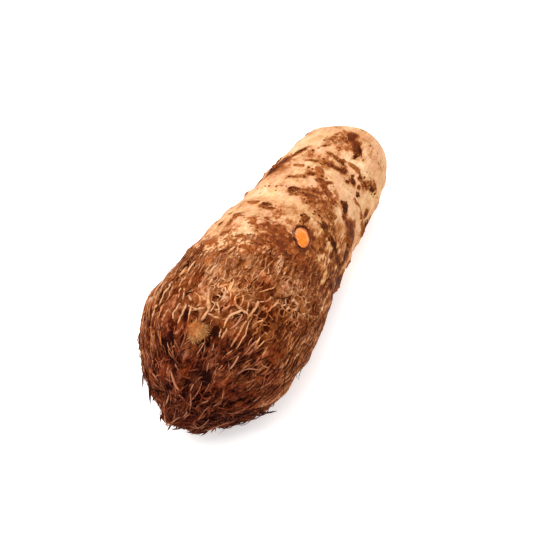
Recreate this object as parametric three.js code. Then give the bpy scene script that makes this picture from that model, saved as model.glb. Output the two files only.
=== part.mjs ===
// A cocoyam corm lying on its side: one solid that grew in one piece.
// Millimetres, +Z up. +X runs from the smooth basal end to the shaggy growing tip, and the corm rests on z = 0.
// Its skin carries what a corm has: leaf-scar rings, side buds, the scar where it left its mother corm,
// and the stub of old leaf bases round the growing tip.
// Round the corm, angles run from +Y over the top: 90 degrees is the top and 270 degrees is the underside.
import * as THREE from 'three';

// Driving dimensions.
const cormLength = 188;
const sides = 60;
const meridianSteps = 80;

// How thick the corm is: [distance from the basal end, radius].
const thickness = [
  [0, 0], [0.6, 8], [3.6, 15.4], [10, 20.4], [23, 24.4], [40, 26.2], [60, 28.4], [82, 31.4],
  [104, 34.6], [124, 36.6], [142, 36.8], [156, 34.2], [167, 28.4], [175, 20.4], [181, 15.4],
  [185.5, 11.4], [187.6, 6], [cormLength, 0],
];

// Where the growth axis lies: [distance from the basal end, offset in Y, height above the ground].
const growthAxis = [
  [0, 4, 29.5], [25, 0.5, 28], [60, -0.8, 29], [100, -1.5, 33.6],
  [135, -2, 35.8], [158, -2.5, 33.5], [175, -4, 29.5], [cormLength, -5, 27],
];

// Leaf scars ring the corm, closer together towards the tip. Each leans a little, a golden angle on from the last.
const rings = {
  first: 15,
  pitch: 17.4,
  pitchLoss: 0.25,
  count: 10,
  lean: 2.2,
  height: 0.55,
  rise: 3.4,
  fall: 1.3,
};
const goldenAngle = THREE.MathUtils.degToRad(137.5);

// Broad swellings of the body: [height, waves along the corm, waves round it, phase].
const swellings = [
  [0.5, 1.5, 2, 0.4],
  [0.4, 2.5, 3, 5.2],
  [0.3, 4, 1, 4.4],
  [0.3, 5.5, 4, 1.2],
];

// Side buds and scars: [distance from the basal end, degrees round, radius, rim height, hollow depth].
const buds = [
  [93, 62, 5.4, 0.7, 1.1],
  [165.5, 94, 5.6, 0.5, -0.8],
  [20, 72, 5, 0.5, 1],
  [97, 205, 4.8, 0.8, 1.2],
  [66, 318, 5, 0.8, 1.1],
  [131, 335, 5.2, 0.7, -0.9],
];

// How far from the growth axis the relief begins to fade, so that both ends stay rounded.
const fadeRadius = 12;

function bodyOfRevolution() {
  const outline = new THREE.SplineCurve(thickness.map(([along, radius]) => new THREE.Vector2(radius, along)));
  const points = outline.getSpacedPoints(meridianSteps);
  points[0].x = 0;
  points[meridianSteps].x = 0;
  return new THREE.LatheGeometry(points, sides);
}

const axisCurve = new THREE.CatmullRomCurve3(growthAxis.map(([x, y, z]) => new THREE.Vector3(x, y, z)));

function axisAt(along) {
  let low = 0;
  let high = 1;
  for (let i = 0; i < 30; i += 1) {
    const middle = (low + high) / 2;
    if (axisCurve.getPoint(middle).x < along) low = middle;
    else high = middle;
  }
  return axisCurve.getPoint((low + high) / 2);
}

function ringRelief(along, around) {
  let relief = 0;
  let place = rings.first;
  for (let i = 0; i < rings.count; i += 1) {
    const past = along - place - rings.lean * Math.cos(around - i * goldenAngle);
    const span = past < 0 ? rings.rise : rings.fall;
    relief += rings.height * Math.exp(-((past / span) ** 2));
    place += rings.pitch - rings.pitchLoss * i;
  }
  return relief;
}

function swellingRelief(along, around) {
  return swellings.reduce((sum, [height, wavesAlong, wavesRound, phase]) => (
    sum + height * Math.sin(2 * Math.PI * wavesAlong * along / cormLength + wavesRound * around + phase)
  ), 0);
}

function budRelief(along, around, radius) {
  return buds.reduce((sum, [place, degrees, size, rim, hollow]) => {
    const turn = around - THREE.MathUtils.degToRad(degrees);
    const across = Math.atan2(Math.sin(turn), Math.cos(turn)) * radius;
    const distance = Math.hypot(along - place, across) / size;
    return sum + rim * Math.exp(-(((distance - 1) / 0.3) ** 2)) - hollow * Math.exp(-(distance ** 4));
  }, 0);
}

function cormGeometry() {
  const geometry = bodyOfRevolution();
  const position = geometry.getAttribute('position');
  for (let i = 0; i < position.count; i += 1) {
    const along = position.getY(i);
    const radius = Math.hypot(position.getX(i), position.getZ(i));
    const around = Math.atan2(position.getZ(i), -position.getX(i));
    const relief = ringRelief(along, around) + swellingRelief(along, around) + budRelief(along, around, radius);
    const fade = Math.min(1, radius / fadeRadius);
    const reach = radius + relief * fade * fade;
    const centre = axisAt(along);
    const height = centre.z + reach * Math.sin(around);
    position.setXYZ(i, along, centre.y + reach * Math.cos(around), Math.max(0, height));
  }
  geometry.computeBoundingBox();
  const { min, max } = geometry.boundingBox;
  return geometry.translate(-(min.x + max.x) / 2, -(min.y + max.y) / 2, -min.z);
}

const corm = new THREE.Mesh(
  cormGeometry(),
  new THREE.MeshStandardMaterial({ color: 0x9a6238, roughness: 0.9, metalness: 0 }),
);
corm.name = 'corm';

const cocoyam = new THREE.Group();
cocoyam.add(corm);
export default cocoyam;
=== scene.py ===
import math

import bpy
import numpy as np
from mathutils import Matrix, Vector
from mathutils.bvhtree import BVHTree


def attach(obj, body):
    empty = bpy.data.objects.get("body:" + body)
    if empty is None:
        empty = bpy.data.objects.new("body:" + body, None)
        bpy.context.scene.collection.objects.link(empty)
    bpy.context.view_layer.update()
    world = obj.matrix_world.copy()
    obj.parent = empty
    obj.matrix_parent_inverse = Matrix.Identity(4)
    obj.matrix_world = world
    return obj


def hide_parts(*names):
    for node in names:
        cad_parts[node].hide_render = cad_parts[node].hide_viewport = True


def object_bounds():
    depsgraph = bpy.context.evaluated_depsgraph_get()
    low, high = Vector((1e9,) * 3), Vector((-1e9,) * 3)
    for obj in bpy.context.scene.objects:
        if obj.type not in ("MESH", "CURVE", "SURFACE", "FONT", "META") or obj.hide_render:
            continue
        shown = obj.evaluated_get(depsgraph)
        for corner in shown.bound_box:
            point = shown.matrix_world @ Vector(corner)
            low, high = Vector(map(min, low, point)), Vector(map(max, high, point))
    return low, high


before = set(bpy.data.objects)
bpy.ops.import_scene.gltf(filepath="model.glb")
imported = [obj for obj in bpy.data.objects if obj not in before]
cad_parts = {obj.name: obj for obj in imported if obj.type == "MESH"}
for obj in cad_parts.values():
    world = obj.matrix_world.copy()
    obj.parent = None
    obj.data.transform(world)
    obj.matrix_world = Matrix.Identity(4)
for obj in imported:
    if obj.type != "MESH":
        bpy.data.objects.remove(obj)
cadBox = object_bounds()

mm = 0.001
basalX = cadBox[0].x / mm  # the smooth end; the growing tip is at the other end of X
fullRadius = 34  # mm, of the corm where it is thickest
columnWidth = 0.75  # mm from column to column of the surface there
paintShare = 0.8  # the light is brighter than white, so that the floor stays clean, and paints are deeper


def latticeValue(corner, seed):
    # A repeatable number from 0 to 1 for each corner of a grid of cells.
    mixed = corner[..., 0] * 73856093 ^ corner[..., 1] * 19349663 ^ corner[..., 2] * 83492791
    mixed = mixed ^ seed * 2654435
    mixed = (mixed ^ (mixed >> 13)) * 1274126177 & 0x7FFFFFFF
    mixed = (mixed ^ (mixed >> 15)) * 668265263 & 0x7FFFFFFF
    return (mixed >> 7 & 0xFFFFF) / 0xFFFFF


def softNoise(points, size, seed):
    # Smooth lumps from -1 to 1, about this many mm across.
    scaled = points / np.asarray(size, float) + 500.0
    cell = np.floor(scaled).astype(np.int64)
    share = scaled - cell
    share = share * share * (3 - 2 * share)
    total = np.zeros(points.shape[:-1])
    for corner in range(8):
        step = np.array([corner & 1, corner >> 1 & 1, corner >> 2 & 1])
        weight = np.prod(np.where(step == 1, share, 1 - share), axis=-1)
        total += weight * latticeValue(cell + step, seed)
    return total * 2 - 1


def layeredNoise(points, size, seed, layers=3):
    total = np.zeros(points.shape[:-1])
    for layer in range(layers):
        total += softNoise(points, np.asarray(size, float) / 2 ** layer, seed + layer) / 2 ** layer
    return total / (2 - 0.5 ** (layers - 1))


def ramp(low, high, value):
    share = np.clip((value - low) / (high - low), 0, 1)
    return share * share * (3 - 2 * share)


def window(low, high, edge, value):
    # 1 between two values, with soft edges.
    return ramp(low - edge, low + edge, value) * ramp(high + edge, high - edge, value)


def paint(red, green, blue):
    # A colour as it should look, from 0 to 255, as Blender's linear colour.
    linear = [((c / 255 + 0.055) / 1.055) ** 2.4 if c > 10 else c / 255 / 12.92 for c in (red, green, blue)]
    return (*(c * paintShare for c in linear), 1)


def makePiece(name, points, faces, material, **values):
    # A smooth mesh piece from points in mm, with one number a point for each named value.
    mesh = bpy.data.meshes.new(name)
    mesh.from_pydata((points * mm).tolist(), [], faces)
    mesh.polygons.foreach_set("use_smooth", [True] * len(mesh.polygons))
    for valueName, numbers in values.items():
        layer = mesh.attributes.new(valueName, "FLOAT", "POINT")
        layer.data.foreach_set("value", np.asarray(numbers, np.float32).ravel())
    mesh.materials.append(material)
    mesh.update()
    piece = bpy.data.objects.new(name, mesh)
    bpy.context.scene.collection.objects.link(piece)
    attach(piece, "root")
    print(name, "has", sum(len(p.vertices) - 2 for p in mesh.polygons), "triangles")
    return piece


def connect(tree, value, socket):
    # Links the socket when the value is another node's output, and sets it when it is a number or a colour.
    if isinstance(value, bpy.types.NodeSocket):
        tree.links.new(value, socket)
    else:
        socket.default_value = value


def addNode(tree, kind, inputs=None, **settings):
    node = tree.nodes.new(kind)
    for name, value in settings.items():
        setattr(node, name, value)
    for name, value in (inputs or {}).items():
        connect(tree, value, node.inputs[name])
    return node


def mixColour(tree, share, first, second, blend="MIX"):
    node = addNode(tree, "ShaderNodeMix", {0: share}, data_type="RGBA", blend_type=blend, clamp_factor=True)
    connect(tree, first, node.inputs[6])
    connect(tree, second, node.inputs[7])
    return node.outputs[2]


def mixNumber(tree, share, first, second):
    return addNode(tree, "ShaderNodeMix", {0: share, 2: first, 3: second}).outputs[0]


def sums(tree, operation, first, second, third=None):
    node = addNode(tree, "ShaderNodeMath", {0: first, 1: second}, operation=operation)
    if third is not None:
        connect(tree, third, node.inputs[2])
    return node.outputs[0]


def times(tree, first, second):
    return sums(tree, "MULTIPLY", first, second)


def addShare(tree, level, value, amount):
    # Adds this much of a value to a level.
    return sums(tree, "MULTIPLY_ADD", value, amount, level)


def between(tree, value, low, high, toLow=0.0, toHigh=1.0):
    node = addNode(tree, "ShaderNodeMapRange", {
        "Value": value, "From Min": low, "From Max": high, "To Min": toLow, "To Max": toHigh,
    }, interpolation_type="SMOOTHSTEP")
    return node.outputs[0]


def attribute(tree, name):
    return addNode(tree, "ShaderNodeAttribute", attribute_name=name).outputs["Fac"]


def speckle(tree, place, scale, detail=3.0, roughness=0.6):
    return addNode(tree, "ShaderNodeTexNoise", {
        "Vector": place, "Scale": scale, "Detail": detail, "Roughness": roughness,
    }).outputs[0]


def spread(tree, value, amount, level):
    # Adds noise that swings about 0.5 to a level.
    return addShare(tree, level, sums(tree, "SUBTRACT", value, 0.5), amount)


def colourRamp(tree, level, stops):
    node = tree.nodes.new("ShaderNodeValToRGB")
    elements = node.color_ramp.elements
    elements[0].position, elements[0].color = stops[0]
    elements[1].position, elements[1].color = stops[-1]
    for position, colour in stops[1:-1]:
        elements.new(position).color = colour
    tree.links.new(level, node.inputs[0])
    return node.outputs[0]


def crumbs(tree, place, scale, density, size=0.3):
    # A mask of scattered small specks. Density from 0 to 1 says how many cells hold one.
    cells = addNode(tree, "ShaderNodeTexVoronoi", {"Vector": place, "Scale": scale})
    picks = addNode(tree, "ShaderNodeSeparateColor", {"Color": cells.outputs["Color"]})
    reach = between(tree, picks.outputs[1], 0.0, 1.0, size * 0.5, size)
    inside = between(tree, sums(tree, "DIVIDE", cells.outputs["Distance"], reach), 1.15, 0.75)
    return times(tree, inside, sums(tree, "LESS_THAN", picks.outputs[0], density))


def newMaterial(name):
    material = bpy.data.materials.new(name)
    material.use_nodes = True
    tree = material.node_tree
    tree.nodes.clear()
    shader = addNode(tree, "ShaderNodeBsdfPrincipled", {"IOR": 1.45, "Specular IOR Level": 0.05})
    addNode(tree, "ShaderNodeOutputMaterial", {"Surface": shader.outputs[0]})
    place = addNode(tree, "ShaderNodeTexCoord").outputs["Object"]
    return material, tree, shader, place


def bumped(tree, shader, height, distance, strength=1.0):
    node = addNode(tree, "ShaderNodeBump", {"Height": height, "Distance": distance, "Strength": strength})
    tree.links.new(node.outputs[0], shader.inputs["Normal"])


def newGroup(name, inputs, outputs):
    # A shader node group with sockets (name, kind, value) going in and (name, kind) coming out.
    group = bpy.data.node_groups.new(name, "ShaderNodeTree")
    for socketName, kind, value in inputs:
        socket = group.interface.new_socket(socketName, in_out="INPUT", socket_type="NodeSocket" + kind)
        if value is not None:
            socket.default_value = value
    for socketName, kind in outputs:
        group.interface.new_socket(socketName, in_out="OUTPUT", socket_type="NodeSocket" + kind)
    return group, group.nodes.new("NodeGroupInput").outputs, group.nodes.new("NodeGroupOutput").inputs


def makeGrainGroup():
    # Fine fibre streaks that run with the corm, and flecks that do not, both from 0 to 1.
    group, start, end = newGroup(
        "fibreGrain",
        [("Place", "Vector", None), ("Stretch", "Float", 6.0), ("Size", "Float", 900.0)],
        [("Streak", "Float"), ("Fleck", "Float")],
    )
    shorter = sums(group, "DIVIDE", 1.0, start["Stretch"])
    squash = addNode(group, "ShaderNodeCombineXYZ", {"X": shorter, "Y": 1.0, "Z": 1.0}).outputs[0]
    moved = addNode(group, "ShaderNodeVectorMath", {0: start["Place"], 1: squash}, operation="MULTIPLY")
    streak = speckle(group, moved.outputs[0], start["Size"], 4.0, 0.65)
    fleck = speckle(group, start["Place"], start["Size"], 2.0, 0.5)
    group.links.new(between(group, streak, 0.3, 0.7), end["Streak"])
    group.links.new(between(group, fleck, 0.35, 0.65), end["Fleck"])
    return group


grainGroup = makeGrainGroup()


def grain(tree, place, stretch, size):
    inputs = {"Place": place, "Stretch": stretch, "Size": size}
    node = addNode(tree, "ShaderNodeGroup", inputs, node_tree=grainGroup)
    return node.outputs["Streak"], node.outputs["Fleck"]


def makeTintGroup():
    # Patches where a colour turns redder and deeper, and others where it turns to warm straw.
    group, start, end = newGroup(
        "earthTint",
        [("Colour", "Color", None), ("Place", "Vector", None), ("Amount", "Float", 1.0)],
        [("Colour", "Color")],
    )
    place, amount = start["Place"], start["Amount"]
    red = between(group, speckle(group, place, 105.0, 4.0, 0.6), 0.5, 0.62)
    moved = addNode(group, "ShaderNodeVectorMath", {0: place, 1: (0.3, 0.1, 0.2)}, operation="ADD").outputs[0]
    straw = between(group, speckle(group, moved, 150.0, 4.0, 0.6), 0.52, 0.64)
    colour = mixColour(group, times(group, red, amount), start["Colour"], (0.9, 0.62, 0.5, 1), "MULTIPLY")
    strawed = mixColour(group, 1.0, colour, (1.3, 1.22, 0.95, 1), "MULTIPLY")
    colour = mixColour(group, times(group, straw, amount), colour, strawed)
    group.links.new(colour, end["Colour"])
    return group


tintGroup = makeTintGroup()


def tinted(tree, place, amount, colour):
    inputs = {"Place": place, "Colour": colour, "Amount": amount}
    return addNode(tree, "ShaderNodeGroup", inputs, node_tree=tintGroup).outputs["Colour"]


def wrapped(turn):
    # An angle in radians as its equal between minus half a turn and half a turn.
    return np.arctan2(np.sin(turn), np.cos(turn))


def degreesRound(turn):
    # An angle in radians as degrees from -90, underneath, over the top and round to 270.
    return (np.degrees(turn) + 90) % 360 - 90


surfaceValues = {
    "columns": 288,
    "rows": 340,
    "castRows": 700,
    "stations": 95,  # where the middle of the corm is found
    "smoothAlong": 1.6,  # mm
    "smoothAround": 2.4,  # mm
    "crowding": 0.35,  # how much closer than average the columns of a patch lie near this many degrees round
    "crowdTowards": 70.0,
}


def smoothRows(values, sigma, axis, wrap):
    reach = max(1, int(sigma * 3))
    weights = np.exp(-0.5 * (np.arange(-reach, reach + 1) / sigma) ** 2)
    weights /= weights.sum()
    padding = [(0, 0)] * values.ndim
    padding[axis] = (reach, reach)
    padded = np.pad(values, padding, mode="wrap" if wrap else "edge")
    total = np.zeros_like(values)
    for i, weight in enumerate(weights):
        total += weight * np.take(padded, range(i, i + values.shape[axis]), axis=axis)
    return total


def readSurface():
    # Casts rays from the growth axis to the CAD solid, at rows an even distance apart along the skin.
    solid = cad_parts["corm"].data
    corners = np.array([v.co for v in solid.vertices], float)
    tree = BVHTree.FromPolygons(corners.tolist(), [tuple(p.vertices) for p in solid.polygons])
    corners /= mm
    stations = np.linspace(corners[:, 0].min(), corners[:, 0].max(), surfaceValues["stations"])
    middles = np.array([corners[np.abs(corners[:, 0] - x) < 3].mean(axis=0)[1:] for x in stations])
    middles = smoothRows(middles, 1.5, 0, False)

    def centreAt(x):
        return np.stack([np.interp(x, stations, middles[:, i]) for i in (0, 1)], -1)

    def reach(x, around):
        y, z = centreAt(x)
        ray = Vector((0, math.cos(around), math.sin(around)))
        hit = tree.ray_cast(Vector((x, y, z)) * mm, ray)
        return hit[3] / mm if hit[0] is not None else 0.0

    low, high = corners[:, 0].min() + 0.004, corners[:, 0].max() - 0.004
    coarse = low + (high - low) * (1 - np.cos(np.linspace(0, math.pi, surfaceValues["castRows"]))) / 2
    clock = np.linspace(0, 2 * math.pi, 12, False)
    outline = np.array([np.mean([reach(x, a) for a in clock]) for x in coarse])
    steps = np.hypot(np.diff(coarse), np.diff(outline))
    arcs = np.concatenate([[0], np.cumsum(steps)]) + outline[0]
    rows, columns = surfaceValues["rows"], surfaceValues["columns"]
    arcRows = np.linspace(arcs[0], arcs[-1], rows)
    xs = np.interp(arcRows, arcs, coarse)
    angles = np.arange(columns) * 2 * math.pi / columns
    radii = np.array([[reach(x, a) for a in angles] for x in xs])
    step = arcRows[1] - arcRows[0]
    softened = smoothRows(radii, surfaceValues["smoothAlong"] / step, 0, False)
    softened = smoothRows(softened, surfaceValues["smoothAround"] / columnWidth, 1, True)
    inner = np.minimum(arcRows - arcRows[0], arcRows[-1] - arcRows)
    keep = ramp(2, 9, inner)[:, None]  # the two ends keep their own shape
    radii = radii * (1 - keep) + softened * keep
    centres = centreAt(xs)
    points = np.stack([
        np.repeat(xs[:, None], columns, 1),
        centres[:, :1] + radii * np.cos(angles),
        centres[:, 1:] + radii * np.sin(angles),
    ], -1)
    return arcRows, angles, radii, points


arcRows, angles, radii, barePoints = readSurface()
arcStep = arcRows[1] - arcRows[0]
placeRows = barePoints[:, 0, 0] - basalX  # mm from the basal end, per row
print("surface read:", barePoints.shape, "skin length", round(float(arcRows[-1]), 1), "mm")


def gridNormals(points):
    along = np.gradient(points, axis=0)
    around = np.roll(points, -1, axis=1) - np.roll(points, 1, axis=1)
    normals = np.cross(around, along)
    return normals / np.maximum(np.linalg.norm(normals, axis=-1, keepdims=True), 1e-9)


def arcAt(place):
    return np.interp(place, placeRows, arcRows)


def placeAt(arc):
    return np.interp(arc, arcRows, placeRows)


def surfaceAt(arc, around, grid):
    # Reads a grid of the bare surface at any distance along it and any angle round it.
    row = np.clip((arc - arcRows[0]) / arcStep, 0, len(arcRows) - 1.001)
    column = around / (2 * math.pi) % 1 * len(angles)
    r0 = np.floor(row).astype(int)
    c0 = np.floor(column).astype(int) % len(angles)
    c1 = (c0 + 1) % len(angles)
    fr = row - r0
    fc = column - np.floor(column)
    if grid.ndim == 3:
        fr, fc = fr[..., None], fc[..., None]
    top = grid[r0, c0] * (1 - fc) + grid[r0, c1] * fc
    low = grid[r0 + 1, c0] * (1 - fc) + grid[r0 + 1, c1] * fc
    return top * (1 - fr) + low * fr


bareNormals = gridNormals(barePoints)


def makePatch(arcs, columns):
    # A finer grid over part of the surface. Its columns lie closer together towards the top.
    turns = np.arange(columns) * 2 * math.pi / columns
    turns = turns - surfaceValues["crowding"] * np.sin(turns - math.radians(surfaceValues["crowdTowards"]))
    arcGrid, turnGrid = np.meshgrid(arcs, turns, indexing="ij")
    return {
        "arcs": arcGrid,
        "turns": turnGrid,
        "degrees": degreesRound(turnGrid),
        "place": placeAt(arcGrid),
        "points": surfaceAt(arcGrid, turnGrid, barePoints),
        "normals": surfaceAt(arcGrid, turnGrid, bareNormals),
        "girths": surfaceAt(arcGrid, turnGrid, radii),
        # lengthwise distance, and a round of even thickness: noise in these coordinates runs with the corm
        "combed": np.stack([arcGrid, 30 * np.cos(turnGrid), 30 * np.sin(turnGrid)], -1),
    }


def gridIndex(rows, columns):
    # The number of each point of a grid, and of the next point round.
    index = np.arange(rows * columns).reshape(rows, columns)
    return index, np.roll(index, -1, axis=1)


def closeGrid(points, fields):
    # A closed body from a grid whose rows run round the corm, with a pole at each end.
    rows, columns = points.shape[:2]
    index, after = gridIndex(rows, columns)
    quads = np.stack([index[1:], after[1:], after[:-1], index[:-1]], -1).reshape(-1, 4).tolist()
    fans = [(rows * columns, int(a), int(b)) for a, b in zip(index[0], after[0])]
    fans += [(rows * columns + 1, int(b), int(a)) for a, b in zip(index[-1], after[-1])]
    corners = np.concatenate([points.reshape(-1, 3), [points[0].mean(axis=0), points[-1].mean(axis=0)]])
    values = {name: np.concatenate([f.ravel(), [f[0].mean(), f[-1].mean()]]) for name, f in fields.items()}
    return corners, quads + fans, values


# Skin: leaf-scar rings, cork blotches, old bud scars.

skinValues = {
    "columns": 330,
    "fineStep": 0.55,  # mm between rows where the skin is bare
    "coarseStep": 1.7,  # mm between rows under the fibres
    "fineEnd": 122.0,  # mm from the basal end
    "ringFirst": 15.0,  # mm from the basal end
    "ringPitch": 17.4,
    "ringPitchLoss": 0.25,  # mm less from each ring to the next
    "ringCount": 10,
    "ringLean": 2.2,
    "ringHeight": 0.4,
    "corkHeight": 0.28,
    "flakeHeight": 0.7,
    "scarLip": 0.7,  # height of the cork that the scar pushes up
    "scarDepth": 0.9,
    "hiddenBlotches": 90,
    "seed": 11,
}
goldenAngle = math.radians(137.5)

# A spot on the skin is (mm from the basal end, degrees round, ...). Degrees run from 0 at +Y over 90 on top.
# Scar and bud: a spot and its radius in mm.
orangeScar = (94.7, 60.3, 5.4)
scarTilt = -19.0  # degrees that the long side of the orange scar turns from lengthwise
scarStretch = 1.28
feltBud = (164.2, 92.0, 3.0)

# Cork blotches: a spot, half its length and half its width in mm, tilt in degrees, darkness from 0 to 1.
# Tilt turns the long side from lengthwise towards rising degrees.
blotches = [
    (20.6, 92, 5.6, 2.8, 25, 0.3), (15.9, 79, 2.7, 2.2, 0, 1), (21.4, 63, 4.8, 2.1, -38, 0.95),
    (26, 61, 2, 1.2, 0, 0.9), (28.6, 97, 2.4, 0.9, 40, 0.5), (33.6, 82, 3, 1, -78, 0.6),
    (34.2, 72, 3.4, 1.1, -75, 0.75), (37, 121, 6.5, 1.4, 50, 0.5), (44.5, 133, 6, 3, 12, 0.9),
    (51.5, 135, 3.6, 2.2, 0, 0.8), (37.5, 105, 2.8, 2.2, 0, 0.25), (42, 96, 3, 0.8, 80, 0.4),
    (40.3, 72, 6.2, 1.3, 82, 0.7), (38.5, 62, 2.4, 1.7, -30, 0.85), (39.8, 47, 2.2, 1.7, -20, 1),
    (42.2, 52, 1.1, 0.9, 0, 0.9), (36.6, 50, 1.3, 0.9, 0, 0.8), (34.8, 41, 1.8, 1.3, 20, 0.75),
    (34.6, 31, 3, 2.4, 40, 0.6), (32.2, 22, 2.4, 2, 0, 0.85), (39.4, 36, 1.2, 1, 0, 0.8),
    (43.2, 33, 1.5, 1, 0, 0.75), (51.3, 88, 2.3, 1.3, 61, 0.65), (56.3, 98, 3.9, 1.3, 61, 0.45),
    (53.2, 76, 2.5, 2.2, 0, 0.8), (51.5, 68, 2, 0.8, 60, 0.65), (67.6, 91, 3.5, 2.4, 55, 0.8),
    (64, 80, 5.2, 0.9, 66, 0.6), (70.5, 88, 3.2, 0.8, 60, 0.6), (68.6, 73, 4, 2.6, 50, 0.5),
    (56, 67, 4.6, 1.4, -50, 0.6), (60, 60, 3.6, 1.3, -50, 0.6), (69, 59, 5.2, 3.6, 30, 0.35),
    (73, 47, 4.4, 2.4, -30, 0.4), (57.2, 40, 4, 2.2, -27, 1), (61.5, 36, 2.2, 1.3, -20, 0.8),
    (62.5, 16, 5, 2.7, -60, 0.9), (65.5, 9, 2.6, 1.5, -60, 0.8), (81.6, 40, 8.8, 1.4, -80, 0.95),
    (66.5, 22, 6.5, 1.6, -50, 0.85), (78.4, 50, 3, 1.5, -60, 0.7), (76, 8, 5.6, 2.4, 10, 0.8),
    (84, 10, 4, 2, 0, 0.7), (43.5, 8, 3.2, 1.9, 0, 0.7), (46, -6, 5.4, 2.6, 0, 0.9),
    (84.6, 104, 2.2, 1.6, 50, 0.7), (86, 98, 1.6, 0.9, 60, 0.65), (83.5, 67, 2.6, 1.6, 0, 0.6),
    (101.5, 89, 3.2, 1.6, 60, 0.35), (110.8, 84, 4, 1.4, 0, 0.5), (104.5, 73, 5, 2.6, 40, 0.8),
    (98, 78, 3, 1.6, 30, 0.5), (106, 62, 4, 2.4, 30, 0.5), (111, 115, 1.8, 1.4, 0, 0.6),
    (112, 102, 2, 1.2, 60, 0.55), (98.7, 118, 4.8, 1.5, 10, 0.5), (101.8, 130, 1.3, 0.9, 0, 1),
    (93, 129, 1.4, 1, 0, 0.9), (132.5, 129, 3.6, 2.2, 10, 0.95), (125.5, 130, 4, 1.5, 30, 0.9),
    (92, 27, 4.6, 1.1, -6, 0.45), (104, 20, 6, 1.2, -4, 0.5), (117, 46, 4.6, 3, 20, 0.45),
]


def hiddenBlotches():
    # The sides that face away carry scattered blotches of the same kinds.
    pick = np.random.default_rng(skinValues["seed"])
    found = []
    for i in range(skinValues["hiddenBlotches"]):
        place, turn = pick.uniform(9, 112), pick.uniform(146, 346)
        size = pick.uniform(0.9, 3.6) ** 1.15
        halfLong, halfShort = size * pick.uniform(1.0, 1.8), size * pick.uniform(0.5, 0.9)
        found.append((place, turn, halfLong, halfShort, pick.uniform(-50, 80), pick.uniform(0.4, 1.0)))
    return found


# Reddish stains that tie the blotches together, in the same terms.
stains = [
    (57, 63, 10, 6, -48, 0.8), (66, 68, 8, 9, 20, 0.75), (38, 72, 4, 14, 0, 0.45), (36, 38, 7, 10, 0, 0.35),
    (20, 80, 9, 8, 0, 0.6), (62, 20, 8, 6, -60, 0.6), (48, 84, 6, 5, 0, 0.4), (101, 86, 8, 14, 20, 0.95),
    (107, 68, 8, 11, 10, 0.85), (90, 76, 3, 16, 10, 0.55), (41, 126, 4, 9, 0, 0.5),
    (112, 108, 6, 10, 30, 0.5), (82, 20, 3, 6, -70, 0.3), (116, 46, 9, 7, 0, 0.7), (52, 200, 9, 26, 10, 0.7),
    (84, 250, 8, 24, -15, 0.8), (30, 290, 9, 16, 0, 0.6), (66, 310, 10, 20, 20, 0.7),
    (95, 190, 14, 18, 0, 0.7), (24, 190, 6, 14, 0, 0.5),
]


def spotDistance(spot, patch, slip, slide):
    # How far each grid point is from a spot on the skin: 0 at its middle and 1 at its edge.
    place, turn, halfLong, halfShort, tilt = spot[:5]
    off = wrapped(patch["turns"] - math.radians(turn)) * np.maximum(patch["girths"], 6) + slide
    down = patch["arcs"] - arcAt(place) + slip
    lean = math.radians(tilt)
    long = down * math.cos(lean) + off * math.sin(lean)
    short = off * math.cos(lean) - down * math.sin(lean)
    return np.hypot(long / halfLong, short / halfShort)


# Patches of painted light and shade and of the surface's own tone: where the whole surface is paler, above 0,
# or darker than its kind, in the terms of the stains. The darker ones under the growing end, by the floor,
# are painted shadow.
lightShadeAndTonePatches = [
    (34, 47, 7, 9, 0, 0.28), (34, 22, 5, 7, 0, 0.12), (48, 104, 5, 6, 0, 0.14), (47, 87, 4, 6, 0, 0.06),
    (51, 127, 7, 7, 0, -0.3), (15.5, 64, 6, 5, 0, -0.12), (82.5, 79, 5, 5, 0, -0.15),
    (86.5, 59, 5, 7, 0, -0.17), (79.6, 88, 5, 4, 0, -0.1), (79, 6, 5, 6, 0, 0.15), (64, 19, 8, 7, 0, -0.22),
    (82, 108, 8, 12, 0, -0.08), (104, 126, 5, 5, 0, -0.14), (110, 105, 9, 6, 0, 0.24),
    (113, 64, 7, 12, 0, -0.17), (94, 32, 10, 9, 0, 0.26), (91, 2, 4, 4, 0, -0.15), (136, 98, 8, 11, 0, 0.2),
    (143, 100, 5, 5, 0, 0.16), (150, 125, 5, 8, 0, 0.15), (154, 80, 7, 13, 0, 0.18),
    (146, 26, 8, 9, 0, -0.16), (133, -5, 8, 9, 0, -0.2), (163, 56, 5, 5, 0, 0.12), (156, -8, 6, 12, 0, 0.18),
    (151, 106, 3, 3, 0, -0.08), (179, 80, 5, 6, 0, -0.1), (97, 10, 6, 8, 0, -0.14), (66, 14, 6, 6, 0, -0.1),
    (145, 6, 7, 9, 0, -0.05), (168, 118, 5, 6, 0, -0.1), (146, 51, 6, 6, 0, -0.2),
    (103, 31, 7, 4, -60, -0.12), (147, 101, 5, 5, 0, 0.12), (106, 3, 6, 7, 0, 0.2), (113, 18, 5, 6, 0, 0.16),
    (152.4, 36, 4, 5, 0, -0.15), (138.7, 12, 5, 5, 0, 0.14), (107.3, 64, 3.6, 3.4, 0, -0.3),
    (110.5, 72, 3, 3, 0, -0.15), (118.5, 64.5, 4.4, 1.5, 0, 0.25), (107.8, 43, 4, 4, 0, -0.14),
    (130, 66, 4, 4, 0, -0.12), (179, 152, 5, 8, 0, 0.12), (179, 94, 4, 5, 0, 0.12), (163, -8, 5, 8, 0, 0.15),
    (173, -22, 6, 6, 0, -0.2), (170, -31, 6, 7, 0, -0.35), (161, -27, 5, 6, 0, -0.2),
    (126, 113, 6, 7, 0, 0.16), (123, 95, 4, 5, 0, 0.12), (134, 106, 5, 6, 0, 0.08),
    (156, 122, 9, 14, 0, 0.12), (142, 24, 4, 5, 0, 0.12), (154.5, -16, 5, 7, 0, 0.15),
]


# Adds up the patches of painted light and shade and of tone at each grid point.
def lightShadeAndToneAt(patch, slip=0.0):
    total = np.zeros(patch["arcs"].shape)
    for spot in lightShadeAndTonePatches:
        total += spot[5] * ramp(1.5, 0.2, spotDistance(spot, patch, slip, -slip))
    return total


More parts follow.
